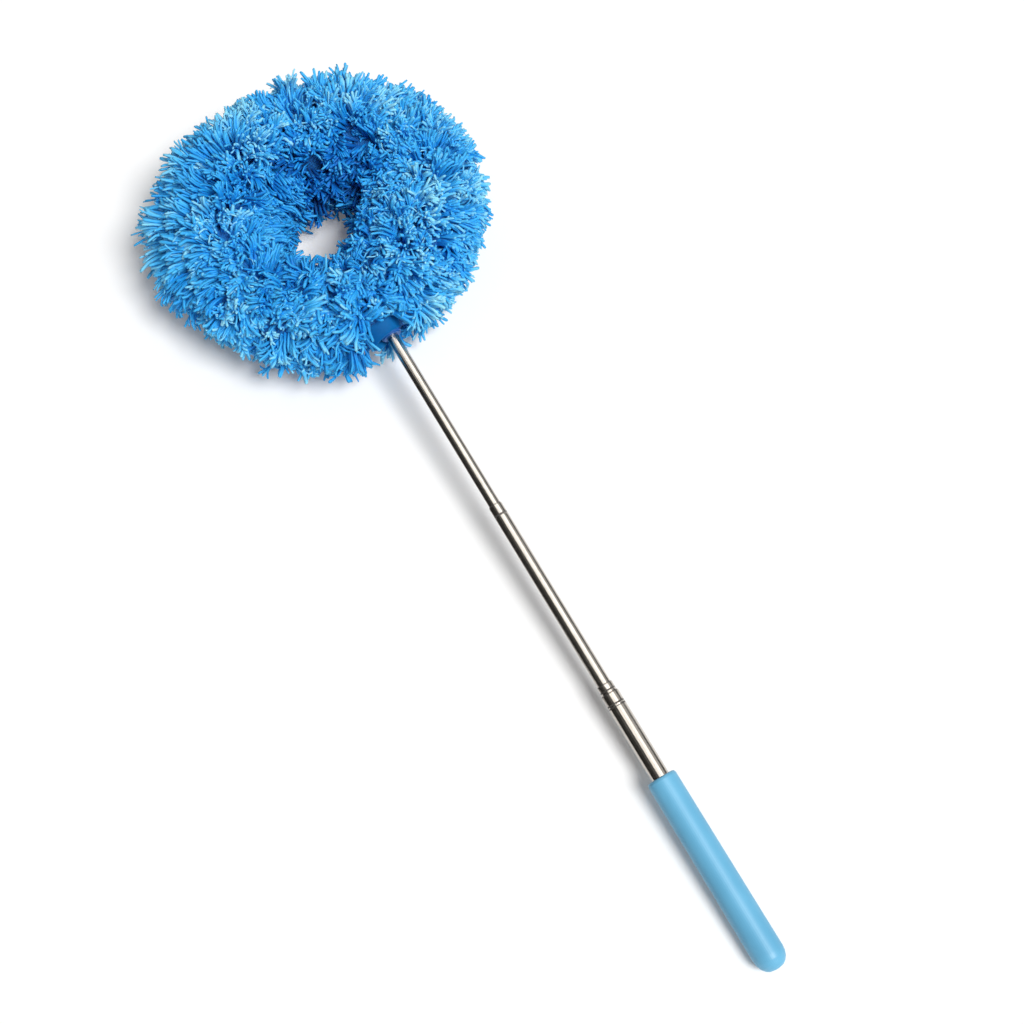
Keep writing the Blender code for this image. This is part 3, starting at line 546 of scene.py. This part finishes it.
# Sideways shift, half width and half height of the cuff's outside, at its mouth and at its top.
CUFF_AT_MOUTH = (-0.00485, 0.01635, 0.0120)
CUFF_AT_TOP = (-0.0010, 0.0218, 0.0178)

sideways = np.array((1.0, 0.0, 0.0))
above = np.cross(sideways, POLE_AXIS)


def cuff_section(share):
    """The cuff's shift, half width and half height at a share of its length."""
    eased = share * share * (3 - 2 * share)
    return tuple(mouth + (top - mouth) * eased for mouth, top in zip(CUFF_AT_MOUTH, CUFF_AT_TOP))


cuff_mesh, loops = loops_of_corners(CUFF_SIDES, len(CUFF_SHARES) - 1)
for loop, share in zip(loops, CUFF_SHARES):
    shift, half_width, half_height = cuff_section(share)
    hem = HEM_HEIGHT if share < HEM_SHARE else 0.0
    for vert in loop:
        angle = math.atan2(vert.co.y, vert.co.x)
        crease = CREASE_HEIGHT * math.sin(CREASES * angle + CREASE_PLACE) * share
        slant = CUFF_SLANT * math.cos(angle) * (1 - share)
        level = NECK_MOUTH + POLE_AXIS * (CUFF_LENGTH * share + slant)
        vert.co = Vector(
            level
            + sideways * (shift + (half_width + crease + hem) * math.cos(angle))
            + above * ((half_height + crease + hem) * math.sin(angle))
        )
bmesh.ops.recalc_face_normals(cuff_mesh, faces=cuff_mesh.faces)
cuff = finished_object("cuff", cuff_mesh, cloth_blue)
give_wall(cuff, CUFF_WALL, -1)
cuff_round = cuff.modifiers.new("Subdivision", "SUBSURF")
cuff_round.levels = 1
cuff_round.render_levels = 1
head_piece(cuff, "cover_cloth", "neck_sleeve")

# Pile: strips of microfibre about 3 mm wide, twisted and sewn through the backing in tufts. A tuft
# opens like a fan, its neighbours lie the same way, and the floor flattens the tufts underneath.

SEED = 7
TUFT_COUNT = 2250
STRANDS_A_TUFT = 12
SLICE_COUNT = 16
STRAND_HALF_WIDTH = 0.0017
STRAND_HALF_THICKNESS = 0.0012
STRAND_SHARES = np.array((0, 0.22, 0.44, 0.64, 0.82, 0.95, 1.0))
STRAND_STEPS = len(STRAND_SHARES) - 1
TAPER_PLACES = (0, 0.5, 0.82, 0.95, 1)
TAPER_SHARES = (0.9, 1.0, 1.05, 1.0, 0.74)

# Steps of a sequence that spreads the tufts evenly, and how much more room the skin has for them on
# the outside of the ring and on top.
SPREAD_STEPS = (0.7548776662466927, 0.5698402909980532, 0.3819660112501051)
ROOM_OUTSIDE = 0.4
ROOM_ON_TOP = 0.25
MOST_ROOM = 1.5

# Stretches of the ring, as a middle and a half width in degrees of its turn.
SWEPT_SIDE = (243, 85)
CURLED_SIDE = (325, 80)
BRIGHT_SIDE = (75, 70)
NEAR_END = (335, 75)
FAR_END = (155, 110)
LEFT_SIDE = (240, 60)
RIGHT_SIDE = (78, 65)

# How far the pile stands out from the ring's centre line, and what is added to that on the outside.
PILE_REACH = 0.0675
TRIM_TURNS = (0, 14, 59, 104, 149, 187, 224, 254, 277, 299, 329, 360)
TRIM_REACHES = (0.006, 0.004, 0.002, 0.007, 0.002, -0.006, 0.008, 0.007, -0.007, 0.0, 0.010, 0.007)
TRIM_STRETCHES = ((40, 45, -0.008), (243, 85, 0.0140), (165, 75, 0.0085), (295, 50, -0.007))
TRIM_UNEVEN_SHARES = (0.95, 1.05)
TRIM_LEFT_OVER = 0.25

# Towards the hole it is shorter at the near end and longer at the sides, and longer still low down.
HOLE_TRIM_NEAR = 0.005
HOLE_MORE_SIDES = 0.006
LOW_MORE = 0.010
LOW_MORE_FAR = 0.024
LOW_MORE_SIDES = 0.012

# A quarter of the tufts stay short and upright under the others.
UNDER_PILE_SHARE = 0.25
UNDER_PILE_REACH_SHARE = 0.68
UNDER_PILE_LAY_SHARE = 0.3

# The roots, the crest's wandering parting, and how the tufts lie and bend.
ROOT_REACH = 0.031
ROOT_UNEVEN = 0.001
CREST_TURN = math.radians(100)
CREST_WANDER = 0.22
CREST_FINE_WANDER = 0.15
CREST_SOFTNESS = 0.80
DRIFT_WAVES = 5
DRIFT_WAVELENGTH = 0.055
LEAN = 0.45
LYING_MORE = 0.12
TUFT_LENGTH_SHARES = (0.84, 1.11)
FAN_SPREADS = (0.28, 0.15)
FAN_FOOT = 0.010
FOOT_SCATTER = 0.0012
FACE_SCATTER = 0.25
CLING_PLACES = (0, 0.35, 0.8, 1)
CLING_SHARES = (0, 0.52, 0.58, 0.40)

# The strands: least and most, or a mean and a spread where the value is a bend.
STRAND_LENGTH_SHARES = (0.74, 1.05)
STRAND_WIDTH_SHARES = (0.62, 1.15)
PALE_WIDTH_SHARE = 0.62
TUFT_BEND = (0.65, 0.30)
STRAND_BEND = (0, 0.38)
STRAND_WAVE = (0, 0.30)
HOOK_BENDS = (0.7, 2.0)
STRAIGHT_BENDS = (0, 0.3)
HOOK_START_SHARE = 0.5
HOOK_GROWTH = 1.3
SAG = 0.20
TWIST = 0.8

# Values that change from place to place: one for the whole pile, and what its stretches and sides
# add to that.
PULL_DOWNHILL = {"everywhere": 0.60, "swept": 0.60, "inner": -0.30}
PULL_BRUSHED = {"everywhere": 0.20, "swept": -0.06, "curled": 0.15}
PULL_STRAY = {"everywhere": 0.32, "swept": -0.14, "curled": 0.34, "inner": 0.14}
PALE_SHARE = {"everywhere": 0.05, "inner": 0.06}
TUFT_BEND_GAIN = {"everywhere": 1, "curled": 0.6}
STRAND_BEND_GAIN = {"everywhere": 1, "curled": 0.9}
HOOKED_SHARE = {"everywhere": 0.25, "curled": 0.50, "inner": 0.20}
HOOK_BEND_GAIN = {"everywhere": 1, "curled": 0.8}

# The gap on the right of the hole's far wall, where the pile has parted.
HOLLOW_PATH = np.array(
    (
        (0.0579, 0.365, 0.119),
        (0.0558, 0.3475, 0.113),
        (0.0505, 0.3211, 0.099),
        (0.0384, 0.3221, 0.072),
    )
)
HOLLOW_WIDTH = 0.0105
HOLLOW_SHORTER = 0.65

# What the pile lies on or keeps clear of: the floor, the pole and the cuff.
FLOOR_LAYER = 0.0016
FLOOR_PILE = 0.004
ABOVE_FLOOR = 0.0002
POLE_ROOM = 0.0105
POLE_ROOM_START = -0.004
OFF_CUFF = 0.0010
CLOSEST_SHARE = 0.2

rng = np.random.default_rng(SEED)


def unit(vectors):
    return vectors / np.maximum(np.linalg.norm(vectors, axis=-1, keepdims=True), 1e-9)


def bell(turn, middle, half_width):
    """1 at the middle of a stretch of the ring, falling to 0 at both its ends, given in degrees."""
    off = np.abs((np.degrees(turn) - middle + 180) % 360 - 180)
    return 0.5 + 0.5 * np.cos(np.pi * np.clip(off / half_width, 0, 1))


def scattered_tufts():
    """Turn and around angles of the tufts, spread evenly over the ring's skin."""
    index = np.arange(1, TUFT_COUNT * 3)
    first, second, third = ((index * step) % 1 for step in SPREAD_STEPS)
    turn = 2 * np.pi * first
    around = 2 * np.pi * second - np.pi
    room = (1 + ROOM_OUTSIDE * np.cos(around) + ROOM_ON_TOP * np.sin(around)) / MOST_ROOM
    kept = third < room
    return turn[kept][:TUFT_COUNT], around[kept][:TUFT_COUNT]


def pile_reach(turn, around):
    """How far the trimmed pile stands out from the ring's centre line."""
    outwards = np.cos(around).clip(0, 1)
    inwards = np.cos(around).clip(-1, 0)
    downwards = np.sin(around).clip(-1, 0)
    trim = np.interp(np.degrees(turn), TRIM_TURNS, TRIM_REACHES)
    for middle, half_width, more in TRIM_STRETCHES:
        trim = trim + more * bell(turn, middle, half_width)
    near, far = bell(turn, *NEAR_END), bell(turn, *FAR_END)
    sides = bell(turn, *LEFT_SIDE) + bell(turn, *RIGHT_SIDE)
    reach = PILE_REACH + trim * outwards + (HOLE_TRIM_NEAR * near - HOLE_MORE_SIDES * sides) * inwards
    low = LOW_MORE * (1 - near) + LOW_MORE_FAR * far + LOW_MORE_SIDES * sides
    return reach + low * inwards * downwards


def hollow_depth(points):
    """1 along the gap where the pile has parted, falling to 0 beside it."""
    nearest = np.full(len(points), np.inf)
    for start, end in zip(HOLLOW_PATH[:-1], HOLLOW_PATH[1:]):
        span = end - start
        share = np.clip((points - start) @ span / (span @ span), 0, 1)
        away = points - start - share[:, None] * span
        nearest = np.minimum(nearest, np.linalg.norm(away, axis=1))
    return np.exp(-((nearest / HOLLOW_WIDTH) ** 2))


def drift(points):
    """A vector that changes slowly from place to place, the way the pile is brushed."""
    total = np.zeros_like(points)
    for _ in range(DRIFT_WAVES):
        wave = unit(rng.normal(0, 1, 3)) * 2 * np.pi / DRIFT_WAVELENGTH
        total += np.sin((points @ wave)[:, None] + rng.uniform(0, 2 * np.pi, 3))
    return total / math.sqrt(DRIFT_WAVES / 2)


def by_place(everywhere, swept=0.0, curled=0.0, inner=0.0):
    """A value for each tuft, from one of the values above that change from place to place."""
    return everywhere + swept * is_swept + curled * is_curled + inner * is_inner


def keep_clear(points):
    """Moves points of the pile out of the pole's path and off the cuff, which they then lie against."""
    offset = points - NECK_MOUTH
    along = offset @ POLE_AXIS
    across = offset - along[..., None] * POLE_AXIS
    shift, half_width, half_height = cuff_section(np.clip(along / CUFF_LENGTH, 0, 1))
    by_pole = along < POLE_ROOM_START
    shift = np.where(by_pole, 0, shift)
    half_width = np.where(by_pole, POLE_ROOM, half_width + OFF_CUFF)
    half_height = np.where(by_pole, POLE_ROOM, half_height + OFF_CUFF)
    sidestep = across[..., 0] - shift
    height = across @ above
    depth = np.sqrt((sidestep / half_width) ** 2 + (height / half_height) ** 2)
    inside = (depth < 1) & (along < CUFF_LENGTH)
    factor = np.where(inside, 1 / np.maximum(depth, CLOSEST_SHARE), 1)
    moved = (shift + sidestep * factor)[..., None] * sideways + (height * factor)[..., None] * above
    return NECK_MOUTH + along[..., None] * POLE_AXIS + moved


def strand_template():
    """Corners and faces of one strand along Z, a strip with four sides."""
    bm = bmesh.new()
    bmesh.ops.create_cone(bm, cap_ends=True, segments=4, radius1=1, radius2=1, depth=1)
    for step in range(1, STRAND_STEPS):
        bmesh.ops.bisect_plane(
            bm,
            geom=bm.verts[:] + bm.edges[:] + bm.faces[:],
            plane_co=(0, 0, step / STRAND_STEPS - 0.5),
            plane_no=(0, 0, 1),
        )
    points = np.array([vert.co for vert in bm.verts])
    bm.verts.index_update()
    faces = [[vert.index for vert in face.verts] for face in bm.faces]
    bm.free()
    return points, faces


turn, around = scattered_tufts()
tuft_count = len(turn)
place, outward = ring_frame(turn)
normal = np.cos(around)[:, None] * outward + np.sin(around)[:, None] * UP
is_swept = bell(turn, *SWEPT_SIDE)
is_curled = bell(turn, *CURLED_SIDE)
is_inner = np.clip(-np.cos(around), 0, 1)
root = place + normal * (ROOT_REACH + rng.uniform(-ROOT_UNEVEN, ROOT_UNEVEN, tuft_count))[:, None]

# The pile parts along the crest and lies away from it on both sides, most of all on the left. The
# left side's locks are long and swept outwards, the near side's curl every way, the right is short.
downhill = np.sin(around)[:, None] * outward - np.cos(around)[:, None] * UP
crest = CREST_TURN + CREST_WANDER * np.sin(3 * turn + 1.0) + CREST_FINE_WANDER * np.sin(7 * turn)
brushed = drift(root)
pull = np.tanh(np.sin(crest - around) / CREST_SOFTNESS) * by_place(**PULL_DOWNHILL)
lay = downhill * pull[:, None]
lay += brushed * by_place(**PULL_BRUSHED)[:, None]
stray = rng.normal(0, 1, (tuft_count, 3))
lay += stray * by_place(**PULL_STRAY)[:, None]
under_pile = rng.random(tuft_count) < UNDER_PILE_SHARE
lay *= np.where(under_pile, UNDER_PILE_LAY_SHARE, 1.0)[:, None]
lay -= normal * np.sum(lay * normal, -1, keepdims=True)
lying = np.linalg.norm(lay, axis=-1)
direction = unit(normal + LEAN * lay)

reach = pile_reach(turn, around)
reach = np.where(under_pile, ROOT_REACH + UNDER_PILE_REACH_SHARE * (reach - ROOT_REACH), reach)
length = (reach - ROOT_REACH) * rng.uniform(*TUFT_LENGTH_SHARES, tuft_count)
length = length * (1 + LYING_MORE * lying)
hollow = hollow_depth(root + direction * length[:, None])
length = length * (1 - HOLLOW_SHORTER * hollow)

# The strands of a tuft open like a fan from feet that stand in a short row.
strands = np.repeat(np.arange(tuft_count), STRANDS_A_TUFT)
count = len(strands)
tuft_bow = unit(lay - direction * np.sum(lay * direction, -1, keepdims=True))
fan_axis = np.cross(direction, tuft_bow)[strands]
opened = rng.normal(0, 1, (count, 2)) * FAN_SPREADS
strand_root = root[strands] + fan_axis * opened[:, :1] * FAN_FOOT
strand_root += rng.normal(0, FOOT_SCATTER, (count, 3))
strand_direction = unit(
    direction[strands] + fan_axis * opened[:, :1] + tuft_bow[strands] * opened[:, 1:]
)
strand_length = length[strands] * rng.uniform(*STRAND_LENGTH_SHARES, count)
pale = rng.random(count) < by_place(**PALE_SHARE)[strands]
side = unit(fan_axis + rng.normal(0, FACE_SCATTER, (count, 3)))
side = unit(side - strand_direction * np.sum(side * strand_direction, -1, keepdims=True))
bow = np.cross(side, strand_direction)

# Each strand bends with its tuft, waves a little, and may end in a hook. The pale ones always do.
tuft_bend = rng.normal(*TUFT_BEND, tuft_count) * lying * by_place(**TUFT_BEND_GAIN)
bend = tuft_bend[strands] + rng.normal(*STRAND_BEND, count) * by_place(**STRAND_BEND_GAIN)[strands]
hooked = rng.random(count) < by_place(**HOOKED_SHARE)[strands]
curl = rng.uniform(*HOOK_BENDS, count) * by_place(**HOOK_BEND_GAIN)[strands]
hook = np.where(hooked | pale, curl, rng.uniform(*STRAIGHT_BENDS, count))
wave = rng.normal(*STRAND_WAVE, (count, 1))
wave = wave * np.sin(2 * np.pi * STRAND_SHARES + rng.uniform(0, 2 * np.pi, (count, 1)))
past_start = (STRAND_SHARES - HOOK_START_SHARE) / (1 - HOOK_START_SHARE)
hook_shares = np.clip(past_start, 0, 1) ** HOOK_GROWTH
angle = bend[:, None] * STRAND_SHARES + wave + hook[:, None] * hook_shares
step_direction = (
    strand_direction[:, None, :] * np.cos(angle)[..., None]
    + bow[:, None, :] * np.sin(angle)[..., None]
)
step_direction[..., 2] -= SAG * STRAND_SHARES[None, :]
step_direction = unit(step_direction)
steps = (step_direction[:, 1:] + step_direction[:, :-1]) / 2
steps = steps * (strand_length[:, None] * np.diff(STRAND_SHARES))[..., None]
foot = strand_root[:, None, :]
path = np.concatenate((foot, foot + np.cumsum(steps, axis=1)), axis=1)

# The strands of a tuft cling together over most of their length, so that the pile falls in locks.
lock = path.reshape(tuft_count, STRANDS_A_TUFT, len(STRAND_SHARES), 3).mean(axis=1)[strands]
cling = np.interp(STRAND_SHARES, CLING_PLACES, CLING_SHARES)
path = path + (lock - path) * cling[None, :, None]

# The pile is trimmed: a strand that would stand out of the ring's shape is bent back into it.
across_ring = path[..., 0] / RING_HALF_WIDTH
along_ring = (RING_CENTRE[1] - path[..., 1]) / RING_HALF_LENGTH
path_turn = np.arctan2(across_ring, along_ring) % (2 * np.pi)
path_place, path_outward = ring_frame(path_turn)
off = path - path_place
off_reach = np.linalg.norm(off, axis=-1)
path_around = np.arctan2(off[..., 2], np.sum(off * path_outward, -1))
limit = pile_reach(path_turn, path_around) * rng.uniform(*TRIM_UNEVEN_SHARES, (count, 1))
trimmed = np.where(off_reach > limit, limit + TRIM_LEFT_OVER * (off_reach - limit), off_reach)
path = keep_clear(path_place + off * (trimmed / off_reach)[..., None])
lowest = FLOOR_LAYER + FLOOR_PILE * rng.random(count)[:, None] * (1 - STRAND_SHARES[None, :])
path[..., 2] = np.where(path[..., 2] < lowest, lowest, path[..., 2])

# A strip is laid along every path, with its own twist, width and taper.
template_points, template_faces = strand_template()
levels = np.rint((template_points[:, 2] + 0.5) * STRAND_STEPS).astype(int)
twist = rng.normal(0, TWIST, count)[:, None] * STRAND_SHARES
across = side[:, None, :] * np.cos(twist)[..., None] + bow[:, None, :] * np.sin(twist)[..., None]
across = unit(across - step_direction * np.sum(across * step_direction, -1, keepdims=True))
through = np.cross(step_direction, across)
taper = np.interp(STRAND_SHARES, TAPER_PLACES, TAPER_SHARES)
width = rng.uniform(*STRAND_WIDTH_SHARES, count) * np.where(pale, PALE_WIDTH_SHARE, 1.0)
width = width[:, None] * taper
half_thickness = STRAND_HALF_THICKNESS * width
half_width = STRAND_HALF_WIDTH * width
corners = (
    path[:, levels]
    + across[:, levels] * (half_width[:, levels] * template_points[:, 0])[..., None]
    + through[:, levels] * (half_thickness[:, levels] * template_points[:, 1])[..., None]
)
corners[..., 2] = np.maximum(corners[..., 2], ABOVE_FLOOR)

# A strand's tone is its tuft's, give or take a little, with painted light and shade added. It is
# lighter on the bright side, has a painted sheen where the pile is brushed towards +X, and has a
# painted highlight on the pale strands. Painted shade lies down the hole's far wall and in the gap.
SHADE = 0.48
BRIGHT_SIDE_PAINTED_LIGHT = 0.12
BRUSHED_PAINTED_SHEEN = 0.14
TUFTS_UNEVEN = 0.18
STRANDS_UNEVEN = 0.09
PALE_PAINTED_HIGHLIGHT = 0.5
HOLE_PAINTED_SHADE = 1.15
HOLE_NEAR_SHARE = 0.35
HOLE_FAR_SHARE = 0.65
HOLLOW_PAINTED_SHADE = 0.9
DARKEST = -0.8

hole_shade_share = is_inner * (HOLE_NEAR_SHARE + HOLE_FAR_SHARE * bell(turn, *FAR_END))
tuft_tone_and_light = SHADE + BRIGHT_SIDE_PAINTED_LIGHT * bell(turn, *BRIGHT_SIDE) + BRUSHED_PAINTED_SHEEN * brushed[:, 0]
tuft_tone_and_light = tuft_tone_and_light + TUFTS_UNEVEN * rng.normal(0, 1, tuft_count)
tuft_tone_and_light -= HOLE_PAINTED_SHADE * hole_shade_share + HOLLOW_PAINTED_SHADE * hollow
strand_tone_and_light = tuft_tone_and_light[strands] + rng.normal(0, STRANDS_UNEVEN, count) + PALE_PAINTED_HIGHLIGHT * pale
strand_tone_and_light = np.clip(strand_tone_and_light, DARKEST, 1)

# The attribute strand holds how far along it a point is, its tone with painted light and shade, and
# how near its edge. The blue goes from deep at the roots, painted shade deep in the pile, to a pale
# sky blue at the tips, a painted highlight. The edges are painted a little lighter too, as a painted
# highlight.
PILE_TONES_SHADE_TO_HIGHLIGHT = (
    (0.0, (0.001, 0.09, 0.36)),
    (0.22, (0.001, 0.17, 0.60)),
    (0.48, (0.008, 0.33, 0.82)),
    (0.74, (0.060, 0.52, 0.96)),
    (0.96, (0.33, 0.80, 1.0)),
)
FIBRE_HEIGHT = 0.0004
FIBRE_WEIGHT = 0.14
# X gives the painted shade to highlight along the strand, Z the painted highlight at its edges, and Y its
# tone with painted light and shade.
STRAND_WEIGHTS = (("Y", 0.40), ("Z", 0.06), ("X", 0.48))

pile_blue, pile_shader = new_material("pile_blue", (0.04, 0.40, 0.97), 0.55)
pile_shader.inputs["Specular IOR Level"].default_value = 0.3
pile_shader.inputs["Sheen Weight"].default_value = 0.08
pile_shader.inputs["Sheen Roughness"].default_value = 0.35
pile_shader.inputs["Sheen Tint"].default_value = (0.35, 0.78, 1.0, 1)
strand_values = node(pile_blue, "ShaderNodeAttribute", attribute_name="strand")
strand_parts = node(pile_blue, "ShaderNodeSeparateXYZ")
link(pile_blue, strand_values.outputs["Vector"], strand_parts.inputs["Vector"])
fibre = noise(pile_blue, 1400.0, 3.0)
dye_and_painted_light = node(pile_blue, "ShaderNodeMath", operation="MULTIPLY")
dye_and_painted_light.inputs[1].default_value = FIBRE_WEIGHT
link(pile_blue, fibre, dye_and_painted_light.inputs[0])
for part, weight in STRAND_WEIGHTS:
    more_dye_and_painted_light = node(pile_blue, "ShaderNodeMath", operation="MULTIPLY_ADD")
    more_dye_and_painted_light.inputs[1].default_value = weight
    link(pile_blue, strand_parts.outputs[part], more_dye_and_painted_light.inputs[0])
    link(pile_blue, dye_and_painted_light.outputs[0], more_dye_and_painted_light.inputs[2])
    dye_and_painted_light = more_dye_and_painted_light
ramp(pile_blue, dye_and_painted_light.outputs[0], PILE_TONES_SHADE_TO_HIGHLIGHT, pile_shader.inputs["Base Color"])
bump(pile_blue, pile_shader, fibre, FIBRE_HEIGHT, 0.5)


def strands_mesh(name, chosen):
    """One mesh of all the chosen strands, each a copy of the template's faces."""
    template = len(template_points)
    face_corners = np.concatenate([np.array(face) for face in template_faces])
    face_sizes = np.array([len(face) for face in template_faces])
    face_starts = np.concatenate(((0,), np.cumsum(face_sizes)[:-1]))
    total = len(chosen)
    mesh = bpy.data.meshes.new(name)
    mesh.vertices.add(total * template)
    mesh.vertices.foreach_set("co", corners[chosen].astype(np.float32).ravel())
    loops = (np.arange(total)[:, None] * template + face_corners[None, :]).ravel()
    mesh.loops.add(len(loops))
    mesh.loops.foreach_set("vertex_index", loops.astype(np.int32))
    mesh.polygons.add(total * len(face_sizes))
    starts = (np.arange(total)[:, None] * len(face_corners) + face_starts[None, :]).ravel()
    mesh.polygons.foreach_set("loop_start", starts.astype(np.int32))
    mesh.polygons.foreach_set("use_smooth", np.ones(len(starts), bool))
    mesh.update(calc_edges=True)
    values = np.stack(
        (
            np.broadcast_to(STRAND_SHARES[levels], (total, template)),
            np.broadcast_to(strand_tone_and_light[chosen][:, None], (total, template)),
            np.broadcast_to(np.abs(template_points[:, 0]), (total, template)),
        ),
        -1,
    )
    attribute = mesh.attributes.new("strand", "FLOAT_VECTOR", "POINT")
    attribute.data.foreach_set("vector", values.astype(np.float32).ravel())
    return mesh


# Most strands over the cuff are left out, so that it shows beside the pole, and so are all in the
# notch that the pole and the neck fill.
CUFF_MIDDLE = -0.005
CUFF_SHOWN_LENGTH = 0.0085
CUFF_SHOWN_HALF_WIDTH = 0.0150
CUFF_SHOWN_MIDDLE = 0.002
CUFF_SHOWN_SLOPE = 0.25
LEFT_OUT_SHARE = 0.93
NOTCH_HALF_WIDTH = 0.021
NOTCH_HALF_ANGLE = math.radians(36)

cuff_offset = path - NECK_MOUTH
cuff_along = cuff_offset @ POLE_AXIS
cuff_side = np.abs(cuff_offset[..., 0] - CUFF_MIDDLE)
shown_half_width = CUFF_SHOWN_HALF_WIDTH - CUFF_SHOWN_SLOPE * np.abs(cuff_along - CUFF_SHOWN_MIDDLE)
over_cuff = (cuff_along < CUFF_SHOWN_LENGTH) & (cuff_side < shown_half_width)
over_cuff &= (cuff_offset @ above) > 0
left_out = over_cuff.any(axis=1) & (rng.random(count) < LEFT_OUT_SHARE)
strand_turn = turn[strands]
in_notch = np.abs(np.sin(strand_turn)) * RING_HALF_WIDTH < NOTCH_HALF_WIDTH
in_notch &= (np.cos(strand_turn) > 0) & (np.abs(around[strands]) < NOTCH_HALF_ANGLE)
left_out |= in_notch

opening = opening_turn(PILE_OPENING)
slice_edges = np.linspace(opening, 2 * np.pi - opening, SLICE_COUNT + 1)
beside_neck = (strand_turn < slice_edges[0]) | (strand_turn >= slice_edges[-1])
slices = [("tufts_neck", "pile_neck", beside_neck)]
for index, (start, end) in enumerate(zip(slice_edges[:-1], slice_edges[1:]), 1):
    in_slice = (strand_turn >= start) & (strand_turn < end)
    slices.append((f"tufts_{index:02d}", f"pile_{index:02d}", in_slice))
for name, replaced, in_slice in slices:
    tufts = bpy.data.objects.new(name, strands_mesh(name, np.flatnonzero(in_slice & ~left_out)))
    bpy.context.scene.collection.objects.link(tufts)
    set_material(tufts, pile_blue)
    head_piece(tufts, "pile", replaced)

# Pile roots: the dense lower part of the yarn, where single strands can't be told apart, as one wavy
# skin round the backing. It ends at a wall above the cuff, which it would hide otherwise.

ROOTS_REACH = 0.038
ROOTS_WAVE = 0.0022
ROOTS_STEPS = 240
ROOTS_SIDES = 64
ROOTS_LOWEST = 0.004
ROOTS_WALL = 0.014
ROOTS_WALL_HALF_WIDTH = 0.019
ROOTS_WALL_SLOPE = 1.4
ROOTS_GRAIN = 0.002


def roots_reach(turns, arounds):
    waves = np.sin(31 * turns + 2 * np.sin(5 * arounds)) * np.sin(7 * arounds + 3 * np.sin(9 * turns))
    return ROOTS_REACH + ROOTS_WAVE * waves


# The roots' deep blue, darker still in the skin's dips, is painted shade deep in the pile.
roots_painted_shade_tones = ((0.35, (0.001, 0.07, 0.28)), (0.65, (0.002, 0.20, 0.60)))
roots_blue = mottled("pile_roots_blue", (0.003, 0.18, 0.74), 0.8, 700.0, 5.0, roots_painted_shade_tones, ROOTS_GRAIN)
pile_roots = ring_skin("pile_roots", 0, 2 * math.pi, ROOTS_STEPS, ROOTS_SIDES, roots_reach, roots_blue)
root_points = keep_clear(np.array([vert.co for vert in pile_roots.data.vertices]))
beside_cuff = np.maximum(np.abs(root_points[:, 0] - CUFF_MIDDLE) - ROOTS_WALL_HALF_WIDTH, 0)
root_along = (root_points - NECK_MOUTH) @ POLE_AXIS
before_wall = ROOTS_WALL - ROOTS_WALL_SLOPE * beside_cuff - root_along
root_points += np.maximum(before_wall, 0)[:, None] * POLE_AXIS
root_points[:, 2] = np.maximum(root_points[:, 2], ROOTS_LOWEST)
pile_roots.data.vertices.foreach_set("co", root_points.astype(np.float32).ravel())
head_piece(pile_roots, "pile")
